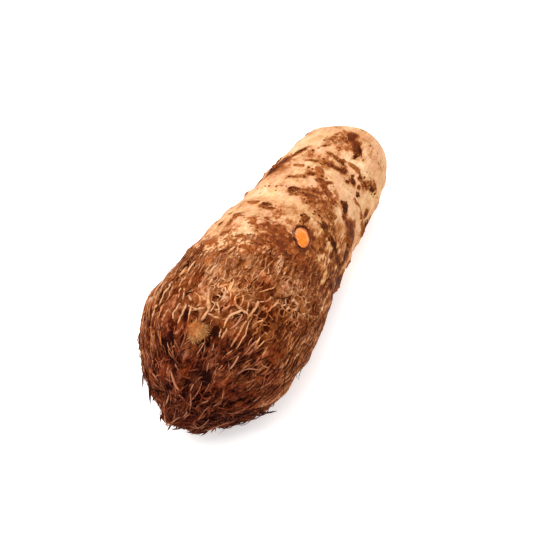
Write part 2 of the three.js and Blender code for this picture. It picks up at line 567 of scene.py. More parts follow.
def strongest(spots, patch, slip, slide, outer, inner):
    # The strength of the spot that counts most at each grid point. Spots fade from their inner to their outer
    # edge.
    total = np.zeros(patch["arcs"].shape)
    for spot in spots:
        total = np.maximum(total, spot[5] * ramp(outer, inner, spotDistance(spot, patch, slip, slide)))
    return total


def ringFields(patch):
    # How far each grid point is past the nearest leaf-scar ring, and the ridge that the rings raise.
    wobble = softNoise(patch["points"], 9.0, 31) * 1.3 + softNoise(patch["points"], 3.0, 32) * 0.6
    ridge = np.zeros_like(wobble)
    nearest = np.full_like(wobble, 99.0)
    ringPlace = skinValues["ringFirst"]
    for i in range(skinValues["ringCount"]):
        lean = skinValues["ringLean"] * np.cos(patch["turns"] - i * goldenAngle)
        past = patch["place"] - ringPlace - lean - wobble
        span = np.where(past < 0, 1.5, 0.5)  # steeper on the side of the tip
        ridge += np.exp(-((past / span) ** 2))
        nearest = np.where(np.abs(past) < np.abs(nearest), past, nearest)
        ringPlace += skinValues["ringPitch"] - skinValues["ringPitchLoss"] * i
    return ridge, nearest


sheathValues = {
    "rowSteps": [(72.0, 0.8), (94.0, 0.45), (180.0, 0.62)],  # from this place on, mm between rows
    "columns": 372,
    "start": 97.0,  # mm from the basal end where fibres take over from bare skin
    "startSwing": 19.0,
    "swingTowards": 118.0,  # degrees round, where the bare skin reaches furthest
    "bareFlank": (12.0, 24.0, 24.0),  # degrees round and spread of a bare flank, and mm that it adds
    "blend": 24.0,
    "hidden": -1.1,  # mm below the bare surface
    "relief": 0.35,
    "tipRelief": 2.3,
    "pitDepth": 0.5,
    "wallHeight": 0.5,
    "budHollow": 0.8,  # how flat the coat is under the felted bud
}


def sheathCover(place, turns, points):
    # Below 0 on bare skin, above 1 where fibres cover it.
    v = sheathValues
    start = v["start"] + v["startSwing"] * np.cos(turns - math.radians(v["swingTowards"]))
    flankTurn, flankSpread, flankReach = v["bareFlank"]
    away = wrapped(turns - math.radians(flankTurn))
    start = start + flankReach * np.exp(-((away / math.radians(flankSpread)) ** 2))
    return (place - start) / v["blend"] + 0.35 * softNoise(points, 14.0, 41)


def makeSkinShape():
    fineEnd = arcAt(skinValues["fineEnd"])
    fineRows = np.arange(arcRows[0], fineEnd, skinValues["fineStep"])
    coarseRows = np.linspace(fineEnd, arcRows[-1], int((arcRows[-1] - fineEnd) / skinValues["coarseStep"]))
    patch = makePatch(np.concatenate([fineRows, coarseRows]), skinValues["columns"])
    points, place, degrees = patch["points"], patch["place"], patch["degrees"]
    ridge, pastRing = ringFields(patch)
    slip = 1.5 * layeredNoise(points, 4.2, 91, 4)
    slide = 1.5 * layeredNoise(points, 4.2, 96, 4)
    blotch = np.full(place.shape, -1.0)
    dark = np.zeros(place.shape)
    for spot in blotches + hiddenBlotches():
        nearness = 1 - spotDistance(spot, patch, slip, slide)
        dark = np.where(nearness > blotch, spot[5], dark)
        blotch = np.maximum(blotch, nearness)
    stain = strongest(stains, patch, 2.5 * slip, 2.5 * slide, 1.25, 0.5)
    ringNear = np.exp(-((pastRing / 1.8) ** 2))
    patches = layeredNoise(points, 11.0, 45, 2)
    crumb = 0.02 + 0.5 * ringNear * ramp(-0.25, 0.35, patches) + 0.5 * ramp(-1.0, 0.0, blotch) + 0.25 * stain
    # the flank at low degrees is worn into lengthwise streaks before the fibres begin
    flank = window(-60, 52, 14, degrees) * ramp(62, 90, place + 7 * patches)
    flake = ringNear * ramp(0.1, 0.5, layeredNoise(points, 6.0, 47, 2) + 0.25 * ramp(-0.2, 0.2, blotch))
    flake *= ramp(20, 28, place)
    furrows = layeredNoise(patch["combed"], [9.0, 1.7, 1.7], 71, 2)
    height = skinValues["ringHeight"] * ridge + skinValues["flakeHeight"] * flake
    lumps = 1 + 0.5 * layeredNoise(points, 1.6, 49, 2)
    height += skinValues["corkHeight"] * ramp(0.0, 0.25, blotch) * lumps
    height += 0.16 * layeredNoise(points, 4.5, 61) + (0.04 + 0.3 * flank) * furrows
    scarPlace, scarTurn, scarRadius = orangeScar
    torn = (scarPlace + 0.4, scarTurn, scarRadius * scarStretch, scarRadius / scarStretch, scarTilt)
    scarAway = spotDistance(torn, patch, 0.5 * slip, 0.5 * slide)
    height += skinValues["scarLip"] * np.exp(-((scarAway - 1.16) / 0.16) ** 2)
    height -= skinValues["scarDepth"] * ramp(1.1, 0.75, scarAway)
    # under the fibres the skin turns brown, loses its relief and lies deeper
    cover = sheathCover(place, patch["turns"], points)
    stain = np.maximum(stain, 0.8 * ramp(-0.75, 0.15, cover + 0.3 * patches))
    height = height * ramp(0.7, 0.2, cover) - 1.6 * ramp(0.3, 0.8, cover) - 8.5 * ramp(150, 172, place)
    endFade = ramp(0, 10, np.minimum(patch["arcs"], arcRows[-1] - patch["arcs"] + 4))
    points = points + patch["normals"] * (height * endFade)[..., None]
    points[..., 2] = np.maximum(points[..., 2], 0)
    fields = {
        "blotch": blotch, "dark": dark, "stain": stain, "crumb": crumb, "flank": flank, "flake": flake,
        "furrow": furrows, "scarAway": np.minimum(scarAway, 9), "lightShadeAndTone": lightShadeAndToneAt(patch, slip),
    }
    return points, fields


def makeSkinMaterial():
    material, tree, shader, place = newMaterial("cormSkinCork")
    streak = grain(tree, place, 6.0, 700.0)[0]
    broad = speckle(tree, place, 70.0, 2.0)
    patchy = speckle(tree, place, 260.0, 5.0, 0.62)
    grit = speckle(tree, place, 620.0, 3.0, 0.6)
    fine = speckle(tree, place, 1200.0, 4.0, 0.65)
    names = ("stain", "flank", "furrow", "lightShadeAndTone", "crumb", "blotch", "dark", "flake", "scarAway")
    field = {name: attribute(tree, name) for name in names}

    # the level runs from 0, nearly black cork, to 1, the palest bare skin
    level = 0.76
    for noise, amount in ((broad, 0.7), (patchy, 0.8), (streak, 0.14), (fine, 0.65)):
        level = spread(tree, noise, amount, level)
    mottle = spread(tree, grit, 0.9, patchy)
    stained = times(tree, field["stain"], between(tree, mottle, 0.3, 0.68, 0.6, 0.0))
    level = sums(tree, "SUBTRACT", level, stained)
    furrow = spread(tree, field["furrow"], 1.0, streak)
    worn = times(tree, field["flank"], between(tree, furrow, -0.3, 0.9, 0.6, 0.0))
    # adds the patches of painted light and shade and of tone, and takes off the worn streaks
    level = sums(tree, "SUBTRACT", sums(tree, "ADD", level, field["lightShadeAndTone"]), worn)
    specks = crumbs(tree, place, 520.0, field["crumb"], 0.42)
    level = addShare(tree, level, specks, between(tree, fine, 0.4, 0.6, -0.3, -0.65))

    # raised cork, with worn edges and darker middles
    edge = field["blotch"]
    for noise, amount in ((fine, 1.1), (grit, 1.5), (patchy, 1.0)):
        edge = spread(tree, noise, amount, edge)
    level = addShare(tree, level, between(tree, edge, -1.1, 0.05), -0.22)
    cork = between(tree, edge, -0.02, 0.12)
    corkLevel = addShare(tree, 0.6, field["dark"], -0.6)
    for noise, amount in ((fine, 1.1), (grit, 1.2), (patchy, 1.1)):
        corkLevel = spread(tree, noise, amount, corkLevel)
    corkLevel = sums(tree, "SUBTRACT", corkLevel, between(tree, edge, 0.4, 0.05, 0.0, 0.1))
    flake = between(tree, spread(tree, fine, 1.0, field["flake"]), 0.3, 0.55, 0.0, 0.85)
    level = mixNumber(tree, cork, level, corkLevel)
    level = mixNumber(tree, flake, level, spread(tree, fine, 1.2, 0.3))

    # dark torn cork round the fresh scar; the flesh itself is its own piece
    scarAway = spread(tree, fine, 0.8, spread(tree, patchy, 0.9, field["scarAway"]))
    level = sums(tree, "SUBTRACT", level, between(tree, scarAway, 2.1, 1.3, 0.0, 0.15))
    level = mixNumber(tree, between(tree, scarAway, 1.24, 1.12), level, 0.1)

    colour = colourRamp(tree, level, [
        (0.0, paint(56, 20, 4)), (0.16, paint(98, 44, 13)), (0.34, paint(142, 76, 31)),
        (0.52, paint(176, 108, 58)), (0.7, paint(209, 157, 110)), (0.86, paint(229, 184, 138)),
        (1.0, paint(241, 206, 164)),
    ])
    rosy = between(tree, speckle(tree, place, 120.0, 3.0), 0.42, 0.62, 0.0, 0.5)
    rosy = times(tree, rosy, between(tree, level, 0.4, 0.8))
    colour = mixColour(tree, rosy, colour, paint(228, 162, 126))
    ruddy = times(tree, field["stain"], between(tree, level, 0.85, 0.5, 0.0, 0.4))
    colour = mixColour(tree, ruddy, colour, paint(160, 80, 42))
    straw = between(tree, speckle(tree, place, 95.0, 2.0), 0.5, 0.62, 0.0, 0.28)
    straw = times(tree, addShare(tree, straw, field["flank"], 0.4), between(tree, level, 0.35, 0.85))
    colour = mixColour(tree, straw, colour, paint(214, 172, 110))
    tree.links.new(tinted(tree, place, 0.2, colour), shader.inputs["Base Color"])
    tree.links.new(between(tree, fine, 0.3, 0.7, 0.72, 0.95), shader.inputs["Roughness"])
    height = addShare(tree, times(tree, fine, 0.7), cork, 0.6)
    height = addShare(tree, spread(tree, streak, 0.4, height), specks, 0.4)
    bumped(tree, shader, height, 0.0005, 0.9)
    return material


def makeSkin():
    points, fields = makeSkinShape()
    corners, faces, values = closeGrid(points, fields)
    skin = makePiece("cormSkin", corners, faces, makeSkinMaterial(), **values)
    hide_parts("corm")
    return skin


skin = makeSkin()
print("skin made")


# Fibre sheath: the worn leaf bases, as a closed cap over the growing end, with a net of raised walls.

# Cells: length in mm, where their rows start, how many round the corm, how far every second column is
# shifted, how much they stray. Walls: width and height in mm, and how stout the crosswise ones are.
netKinds = {
    "long": {
        "length": 14.0, "rowAt": 144.0, "cellsRound": 52, "brick": 0.0, "jitter": (0.16, 0.45),
        "wall": 1.5, "height": 1.05, "crosswise": 0.75, "seed": 101,
    },
    "round": {
        "length": 4.0, "rowAt": 0.0, "cellsRound": 74, "brick": 0.5, "jitter": (0.42, 0.42),
        "wall": 1.25, "height": 0.75, "crosswise": 0.9, "seed": 111,
    },
    "fine": {
        "length": 7.0, "rowAt": 0.0, "cellsRound": 104, "brick": 0.5, "jitter": (0.7, 0.6),
        "wall": 0.95, "height": 0.45, "crosswise": 0.45, "seed": 121,
    },
}

# Hollows between the fibres, in the terms of the cork blotches.
hollows = [
    (161.7, 78.5, 2.7, 1.6, -15, 1), (163.6, 67, 3, 1.7, 0, 0.8), (174.9, 65, 3.2, 2.8, 0, 1),
    (182.7, 119, 3.8, 3, 0, 0.8), (186.8, 136, 3, 3.4, 0, 1), (174.8, 112, 3.8, 1.8, -10, 0.7),
    (179.2, 49, 2.6, 1.8, 0, 0.6), (179.3, 84, 2.4, 1.6, 0, 0.6), (164.8, 47, 3.4, 2, -10, 0.85),
    (160.2, 98, 3.4, 2, -10, 0.6), (148.1, 88, 1.8, 1.6, -20, 0.7), (153.3, 104, 1.6, 1.6, 0, 0.6),
    (148.7, 49, 2.2, 1.5, -20, 0.8), (147.3, 74, 1.7, 1.1, -10, 0.6), (147.6, 69, 1.6, 1.2, 0, 0.5),
    (146.6, 65.5, 1.4, 0.8, 0, 0.5), (144.6, 69.5, 0.8, 0.8, 0, 0.6), (152.4, 69, 2.4, 2, 20, 0.7),
    (151.6, 80.5, 2, 0.7, 45, 0.7), (150.8, 76, 2.2, 0.8, 50, 0.6), (153.3, 84.5, 1.6, 1.4, 0, 0.5),
    (155.4, 86.5, 1.1, 0.9, 0, 0.6), (153.3, 95.8, 1.7, 1, 0, 0.6), (154.5, 78.5, 1.8, 1, 0, 0.5),
    (134, 129, 3.6, 2.6, 10, 1), (140, 96, 2.4, 1.4, 0, 0.5), (137, 112, 4, 3, 0, 0.4),
    (151, 134, 5, 4, 0, 0.4), (133, 62, 3, 4, 0, 0.3), (144, 51, 3, 2, 30, 0.4), (171, 128, 5, 4, 0, 0.4),
    (168, 36, 4, 3, 0, 0.4), (113, 70, 4, 2.4, 0, 0.4), (182.6, 5, 4, 4, 0, 0.6),
    (160.6, 120, 3, 1.3, 0, 0.7), (160.5, 113, 2.8, 1.1, 0, 0.8), (160, 107, 2.8, 1.2, 0, 0.8),
    (159, 99, 2.6, 1.6, 0, 0.8), (158.5, 135, 2.6, 1.3, 0, 0.5), (149.5, 126, 2.4, 1.8, 0, 0.7),
    (150.2, 112, 2.4, 1.3, 0, 0.8), (144.8, 118, 2.2, 1.2, 0, 0.6), (142, 129, 3, 1.4, 0, 0.6),
    (150.5, 139, 3, 1.6, 0, 0.4), (147.6, 74, 1.3, 1.1, 0, 0.6), (147.6, 69.4, 1.1, 1, 0, 0.6),
    (147.2, 64, 1.1, 1.1, 0, 0.5), (143.6, 69.5, 0.9, 0.9, 0, 0.6), (138.2, 42.5, 1.5, 1.5, 0, 0.5),
    (131.5, 45, 2, 2.2, 0, 0.4), (146.5, 57, 3, 2, 0, 0.6), (155.6, 57, 2.2, 1.4, 0, 0.5),
    (150, 200, 5, 8, 0, 0.5), (140, 250, 6, 6, 0, 0.5), (160, 290, 6, 8, 0, 0.5), (134, 320, 5, 4, 0, 0.5),
]

# Pale papery tissue between the walls, in the same terms. The last number says how pale.
paleSpots = [
    (164.2, 92, 2.9, 2.9, 0, 1), (118.5, 64.5, 5, 1.5, 0, 1), (137.5, 51.6, 2.4, 1.2, 0, 0.9),
    (148.5, 99, 5, 4.5, 0, 1), (148.5, 82, 2.2, 3.2, 30, 0.8), (143.5, 69, 2.4, 6, 0, 0.6),
    (152.5, 92, 3.5, 1.6, 0, 0.8), (145, 80, 3, 4, 0, 0.4), (138.5, 92, 4, 4, 0, 0.5),
    (133, 82, 4, 5, 0, 0.4), (128, 52, 5, 4, 0, 0.6), (121, 44, 6, 4, 0, 0.6), (136, 36, 8, 2.4, -10, 0.8),
    (146, 28, 6, 2, 0, 0.6), (141, 46, 3, 2, 0, 0.5), (142, 118, 4, 3, 0, 0.6), (155, 70, 2, 1.2, 0, 0.5),
    (140, 210, 6, 8, 0, 0.6), (132, 290, 6, 8, 0, 0.6),
]

# Smooth rust-coloured tissue, in the same terms. The last number says how much of the net it hides.
rustSpots = [
    (175.6, 93, 3.8, 3, 0, 0.8), (178.8, 126, 3.4, 2.6, 0, 0.7), (169.8, 90, 3.2, 3.6, 0, 0.6),
    (156, 31, 7, 6, 0, 0.6), (158, 12, 6, 4, 0, 0.6), (158.5, 60, 5, 2.5, 0, 0.7), (150, 25, 5, 3, 0, 0.6),
    (154.2, 97, 3, 2, 0, 0.6), (186, 60, 3, 4, 0, 0.7), (184, 100, 3, 4, 0, 0.6), (150, 220, 6, 8, 0, 0.8),
    (165, 300, 6, 7, 0, 0.8),
]

# Dips in the outline of the growing end, in the same terms. The last number is the depth in mm.
dips = [
    (185, 157, 8, 12, 0, 5.8), (186, -90, 6, 12, 0, 2.6), (178, 68, 5, 4.5, 0, 1.3),
    (181, 118, 5, 4, 0, 0.9), (172, 235, 7, 9, 0, 1.5), (182.3, 190, 5.5, 9, 0, 3.6),
    (179.5, 185, 4.5, 7.5, 0, 4.4),
]

# Stout walls of the net: width in mm, how high and pale from 0 to 1, then spots on the skin along it.
netWalls = [
    (1.7, 0.5, [(146.5, 97), (151.7, 94), (154.9, 91), (157.6, 91.5), (160.9, 92.5)]),
    (1.3, 0.4, [(156.6, 90), (156.9, 84), (156.2, 79)]),
    (1, 0.4, [(154.5, 82.5), (152.1, 86), (150.9, 88)]),
    (1.5, 0.65, [(153.2, 81.5), (151, 78), (149.4, 76)]),
    (1.6, 0.65, [(149.5, 68.5), (152, 72), (154.4, 75), (156.6, 75), (159.4, 74)]),
    (0.9, 0.5, [(160, 75.4), (162.9, 73.6)]),
    (0.9, 0.6, [(159, 71.6), (162.9, 71.6)]),
    (1.6, 0.65, [(142.5, 63), (145.7, 61.5), (148.3, 63), (150.7, 63), (152.5, 62)]),
    (1, 0.7, [(152.4, 62.2), (153.6, 63.2), (156.1, 62.4), (159.2, 62.2), (161.4, 62.2), (163.6, 61.2)]),
    (1, 0.7, [(152.3, 61.2), (155.4, 59.2), (158.3, 57.8), (160.9, 57.7), (163.2, 57.8)]),
    (1.2, 0.5, [
        (150.6, 63.2), (149.7, 66), (149.6, 69), (149.1, 73), (148.6, 76), (146.2, 77.4), (144.6, 75.5),
    ]),
    (1, 0.45, [(145.1, 68), (147.1, 66.8), (149.6, 66)]),
    (1.1, 0.4, [(149.7, 107), (150.9, 101), (153.9, 98.6), (155.8, 103)]),
    (1.1, 0.4, [(157.3, 105), (156.3, 98), (154.6, 93.5)]),
    (1.2, 0.7, [(134.2, 51), (138.2, 51.6), (141.2, 53), (143.6, 53)]),
    (0.8, 0.4, [(138.5, 65), (135.1, 62), (131.3, 59), (128.7, 58)]),
    (1, 0.4, [(150.1, 66), (149.6, 70), (149, 74), (148.6, 76.4), (146.4, 76.4)]),
    (1, 0.4, [(146.4, 76.2), (144.2, 74), (142.6, 71), (142.2, 67), (140.7, 62)]),
    (0.9, 0.4, [(144.1, 74), (145.8, 72), (147.5, 71.2), (149.2, 72)]),
    (0.9, 0.4, [(145.8, 72), (145.1, 68), (143, 65.8)]),
    (0.9, 0.4, [(145.1, 68), (144.3, 64.5), (145, 61.5)]),
    (1, 0.4, [(153.6, 63.8), (156.8, 62.8), (161.2, 62.4)]),
    (0.9, 0.4, [(136.6, 39.5), (139.6, 41), (140.2, 45.5), (137.4, 48)]),
    (0.9, 0.4, [(148.8, 40), (151.6, 41), (154.1, 44)]),
    (0.9, 0.4, [(152, 54), (153.5, 52), (155.7, 54)]),
    (1.2, 0.9, [(155, 139), (157.4, 140), (160, 141)]),
    (1.2, 0.9, [(155.4, 130), (158.8, 131), (161.4, 132)]),
    (1.4, 0.9, [(157.8, 124), (161.5, 125), (164.4, 126)]),
    (1.2, 0.9, [(155.4, 115), (159.2, 117), (162.2, 116)]),
    (1.2, 0.9, [(155.4, 109.4), (158.8, 110), (163.2, 110)]),
    (1.1, 0.9, [(155.6, 105), (158.2, 104), (162.4, 102.4)]),
    (0.9, 0.3, [(155.6, 108), (156.4, 103), (156.2, 96)]),
    (1.1, 0.6, [(147.4, 134), (153, 135), (155.6, 136)]),
    (1.1, 0.6, [(143, 131.6), (149.4, 132.4)]),
    (0.9, 0.5, [(147.6, 121), (152.9, 118.4)]),
    (1, 0.5, [(147.6, 117), (153.8, 113.8)]),
    (1.1, 0.6, [(142, 121), (147, 122)]),
    (1.3, 0.7, [(139.2, 114), (143, 114.6), (146.8, 114)]),
    (1, 0.4, [(146.9, 40.5), (145.3, 41.5), (142.6, 40)]),
    (1.1, 0.5, [(148.4, 38.5), (151.7, 39), (153.7, 41.5)]),
]


def cellNet(patch, kind):
    # A net of cells: how far each grid point is from the nearest wall in mm, and how stout that wall is from
    # 0 to 1.
    cellWide = 2 * math.pi * fullRadius / kind["cellsRound"]
    seed, brick, points = kind["seed"], kind["brick"], patch["points"]
    down = 1.4 * softNoise(points, 9.0, seed) + 0.6 * softNoise(points, 2.4, seed + 1)
    down = (patch["place"] - kind["rowAt"] + down) / kind["length"]
    across = 1.5 * softNoise(points, 12.0, seed + 2) + 0.5 * softNoise(points, 2.6, seed + 3)
    across = patch["turns"] / (2 * math.pi) * kind["cellsRound"] + across / cellWide

    def middleOf(column, row):
        spot = np.stack([column % kind["cellsRound"], row + 50, 0 * row], -1)
        rowPlace = row + brick * (column % 2) + kind["jitter"][0] * (latticeValue(spot, seed + 4) - 0.5)
        return rowPlace, column + kind["jitter"][1] * (latticeValue(spot, seed + 5) - 0.5)

    baseColumn = np.floor(across + 0.5).astype(np.int64)
    near = []
    for stepColumn in (-2, -1, 0, 1, 2):
        column = baseColumn + stepColumn
        baseRow = np.floor(down - brick * (column % 2) + 0.5).astype(np.int64)
        for stepRow in (-1, 0, 1):
            row = baseRow + stepRow
            near.append((column, row, *middleOf(column, row)))
    own = [np.zeros(down.shape)] * 4
    best = np.full(down.shape, 1e9)
    for option in near:
        away = (down - option[2]) ** 2 + (across - option[3]) ** 2
        own = [np.where(away < best, new, old) for new, old in zip(option, own)]
        best = np.minimum(best, away)
    wallAway = np.full(down.shape, 1e9)
    stout = np.zeros(down.shape)
    for column, row, rowPlace, columnPlace in near:
        away = (down - rowPlace) ** 2 + (across - columnPlace) ** 2
        slope = np.hypot((rowPlace - own[2]) / kind["length"], (columnPlace - own[3]) / cellWide)
        gap = np.where(slope > 1e-6, (away - best) / 2 / np.maximum(slope, 1e-6), 1e9)
        pair = np.stack([(column + own[0]) % kind["cellsRound"], row + own[1] + 100, 0 * row], -1)
        strength = latticeValue(pair.astype(np.int64), seed + 6)
        strength = strength * np.where(column == own[0], kind["crosswise"], 1.0)
        stout = np.where(gap < wallAway, strength, stout)
        wallAway = np.minimum(wallAway, gap)
    return wallAway, stout


def lineDistance(line, patch):
    # How far each grid point is, in mm, from a line through spots on the skin.
    arcs = [float(arcAt(place)) for place, turn in line]
    turns = [math.radians(turn) for place, turn in line]
    nearest = np.full(patch["place"].shape, 1e9)
    for i in range(len(line) - 1):
        off = wrapped(patch["turns"] - turns[i]) * patch["girths"]
        down = patch["arcs"] - arcs[i]
        stepDown, stepOff = arcs[i + 1] - arcs[i], (turns[i + 1] - turns[i]) * patch["girths"]
        share = np.clip((down * stepDown + off * stepOff) / (stepDown ** 2 + stepOff ** 2), 0, 1)
        nearest = np.minimum(nearest, np.hypot(down - share * stepDown, off - share * stepOff))
    return nearest


def netShares(patch):
    # Where each kind of net shows: long cells under the leaf scars, round ones on top, fine ones elsewhere.
    place, degrees = patch["place"], patch["degrees"]
    drift = layeredNoise(patch["points"], 20.0, 131, 2)
    hiddenSide = window(170, 300, 15, degrees)
    longCells = ramp(133, 138, place) * window(98, 205, 6, degrees)
    longCells = np.maximum(longCells, 0.7 * window(155, 168, 2.5, place) * window(40, 92, 6, degrees))
    longCells = np.maximum(longCells, hiddenSide * ramp(0.0, 0.2, drift) * ramp(125, 135, place))
    roundCells = 1.5 * np.exp(-(((place - 149) / 10) ** 2) - ((degrees - 76) / 27) ** 2)
    lower = 1.2 * np.exp(-(((place - 130) / 11) ** 2) - ((degrees - 38) / 17) ** 2)
    roundCells = np.maximum(np.maximum(roundCells, lower), hiddenSide * ramp(0.0, -0.2, drift))
    roundCells = np.clip(roundCells, 0, 1) * (1 - longCells)
    fineCells = np.clip(1 - longCells - roundCells, 0, 1) * 0.85 + 0.15
    return {"long": longCells, "round": roundCells, "fine": fineCells}


def netRelief(patch):
    # The worn walls of the whole net: where they run, how high they stand in mm, and their tone from 0 to 1.
    points = patch["points"]
    shares = netShares(patch)
    ridge, raised, tone = (np.zeros(patch["place"].shape) for i in range(3))
    for name, kind in netKinds.items():
        away, stout = cellNet(patch, kind)
        half = kind["wall"] / 2 * (0.85 + 0.5 * softNoise(points, 2.0, kind["seed"] + 8))
        worn = ramp(-0.75, 0.1, layeredNoise(points, 4.5, kind["seed"] + 10, 3) + stout - 0.45)
        wall = np.exp(-((away / np.maximum(half, 0.2)) ** 2)) * worn * shares[name]
        raised = np.maximum(raised, wall * kind["height"])
        tone = np.where(wall > ridge, stout, tone)
        ridge = np.maximum(ridge, wall)
    return ridge, raised, tone


def addStoutWalls(ridge, raised, patch, slip):
    # Adds the stout walls, with the rest of the net calmer beside them.
    nearest = np.full(ridge.shape, 9.0)
    for width, high, line in netWalls:
        away = lineDistance(line, patch) + 0.2 * slip
        nearest = np.minimum(nearest, away)
        wall = sheathValues["wallHeight"] * np.exp(-((away / width * 1.6) ** 2))
        calm = 0.4 + 0.6 * ramp(1.0, 2.4, away / width)
        raised = np.maximum(raised * calm, high * wall)
        ridge = np.maximum(ridge * calm, wall)
    return ridge, raised, nearest


def makeSheathShape():
    v = sheathValues
    stops = [arcAt(start) for start, step in v["rowSteps"]] + [arcRows[-1]]
    steps = [step for start, step in v["rowSteps"]]
    arcs = np.concatenate([np.arange(a, b, step) for a, b, step in zip(stops, stops[1:], steps)])
    patch = makePatch(arcs, v["columns"])
    points, place = patch["points"], patch["place"]
    cover = sheathCover(place, patch["turns"], points)
    slip = layeredNoise(points, 4.0, 141, 3)
    pits = np.zeros(place.shape)
    ragged = layeredNoise(points, 2.4, 145, 2)
    for spot in hollows:
        shift = min(1.5, 0.5 * spot[3]) * slip
        away = spotDistance(spot, patch, shift, -shift) + 0.45 * ragged
        pits = np.maximum(pits, spot[5] * ramp(1.3, 0.6, away))
    rust = strongest(rustSpots, patch, 1.5 * slip, -1.5 * slip, 1.3, 0.5)
    pale = strongest(paleSpots, patch, 1.5 * slip, -1.5 * slip, 1.3, 0.4)
    # painted shade: the hollows and the flank at low degrees near the growing end are darker; the murk adds
    # random darker patches towards the tip
    murk = ramp(0.15, 0.5, layeredNoise(points, 8.0, 191, 3)) * ramp(148, 162, place)
    paintedShadeAndMurk = np.maximum(pits, 0.4 * murk)
    paintedShadeAndMurk = np.maximum(paintedShadeAndMurk, 0.2 * window(-70, 44, 12, patch["degrees"]) * ramp(128, 142, place))
    ridge, raised, tone = netRelief(patch)
    # the net is worn away over the hollows
    ridge, raised = (field * (1 - 0.8 * pits) for field in (ridge, raised))
    ridge, raised, nearest = addStoutWalls(ridge, raised, patch, slip)

    furrows = layeredNoise(patch["combed"], [8.0, 1.5, 1.5], 151, 3)
    tip = ramp(156, 174, place)
    thin = 0.3 * layeredNoise(points, 5.0, 161, 2)
    ridge = ridge * (1 - 0.6 * tip)
    walls = ramp(-0.4, 0.1, cover + thin + 0.15 * furrows)
    body = ramp(0.0, 0.7, cover + thin + 0.5 * furrows + 0.5 * (ridge - 0.3))
    height = v["hidden"] * (1 - np.maximum(body, walls * ramp(0.2, 0.6, ridge)))
    ridge = ridge * (0.15 + 0.85 * ramp(0.1, 1.2, cover))  # the first walls are faint
    height += np.maximum(walls * ridge, body) * (0.15 + v["relief"] * furrows)
    height += raised * walls * (1 - 0.55 * tip)
    clumps = layeredNoise(patch["combed"], [8.0, 3.0, 3.0], 171, 3) + 0.5 * layeredNoise(points, 3.5, 181, 2)
    height += ramp(140, 172, place) * v["tipRelief"] * clumps
    height -= (0.4 * paintedShadeAndMurk + v["pitDepth"] * pits) * body
    endFade = ramp(-1, 9, arcRows[-1] - patch["arcs"])
    underBud = ramp(1.6, 1.0, spotDistance((*feltBud, feltBud[2], 0), patch, 0, 0))
    height += v["budHollow"] * underBud * (0.2 - height)
    # the coat without its fine relief, for strands to lie on
    coat = smoothRows(smoothRows(np.maximum(height * endFade, 0), 4, 0, False), 4, 1, True)
    for dip in dips:
        dent = dip[5] * ramp(1.3, 0.1, spotDistance(dip, patch, slip, slip)) * endFade
        height -= dent
        coat -= dent
    height = height * endFade
    height[:3] = v["hidden"]
    outside = points + patch["normals"] * height[..., None]
    outside[..., 2] = np.maximum(outside[..., 2], 0)
    # besides the coat's own tone, the fields carry painted shade for the hollows and the flank, and painted
    # light and shade for the clumps
    fields = {
        "ridge": ridge, "tone": tone, "paintedShadeAndMurk": paintedShadeAndMurk, "furrow": furrows, "rust": rust, "pale": pale,
        "clumpLightAndShade": clumps * ramp(128, 165, place), "calm": ramp(3.4, 1.4, nearest), "place": place,
        "lightShadeAndTone": lightShadeAndToneAt(patch, slip),
    }
    crowded = np.maximum(pits, 0.9 * ramp(2.0, 1.2, nearest))
    return outside, fields, {"arcs": arcs, "turns": patch["turns"][0], "height": coat, "crowded": crowded}


sheathPoints, sheathFields, coat = makeSheathShape()


def coatAt(arcs, turns, field="height"):
    # Height of the fibre coat over the bare surface in mm, or how far a pit or a stout wall takes up the
    # place, from 0 to 1, at any distance along the surface and any angle round it.
    row = np.interp(arcs, coat["arcs"], np.arange(len(coat["arcs"]))).astype(int)
    first = coat["turns"][0]
    column = np.interp((turns - first) % (2 * math.pi) + first, coat["turns"], np.arange(len(coat["turns"])))
    return coat[field][row, column.astype(int)]


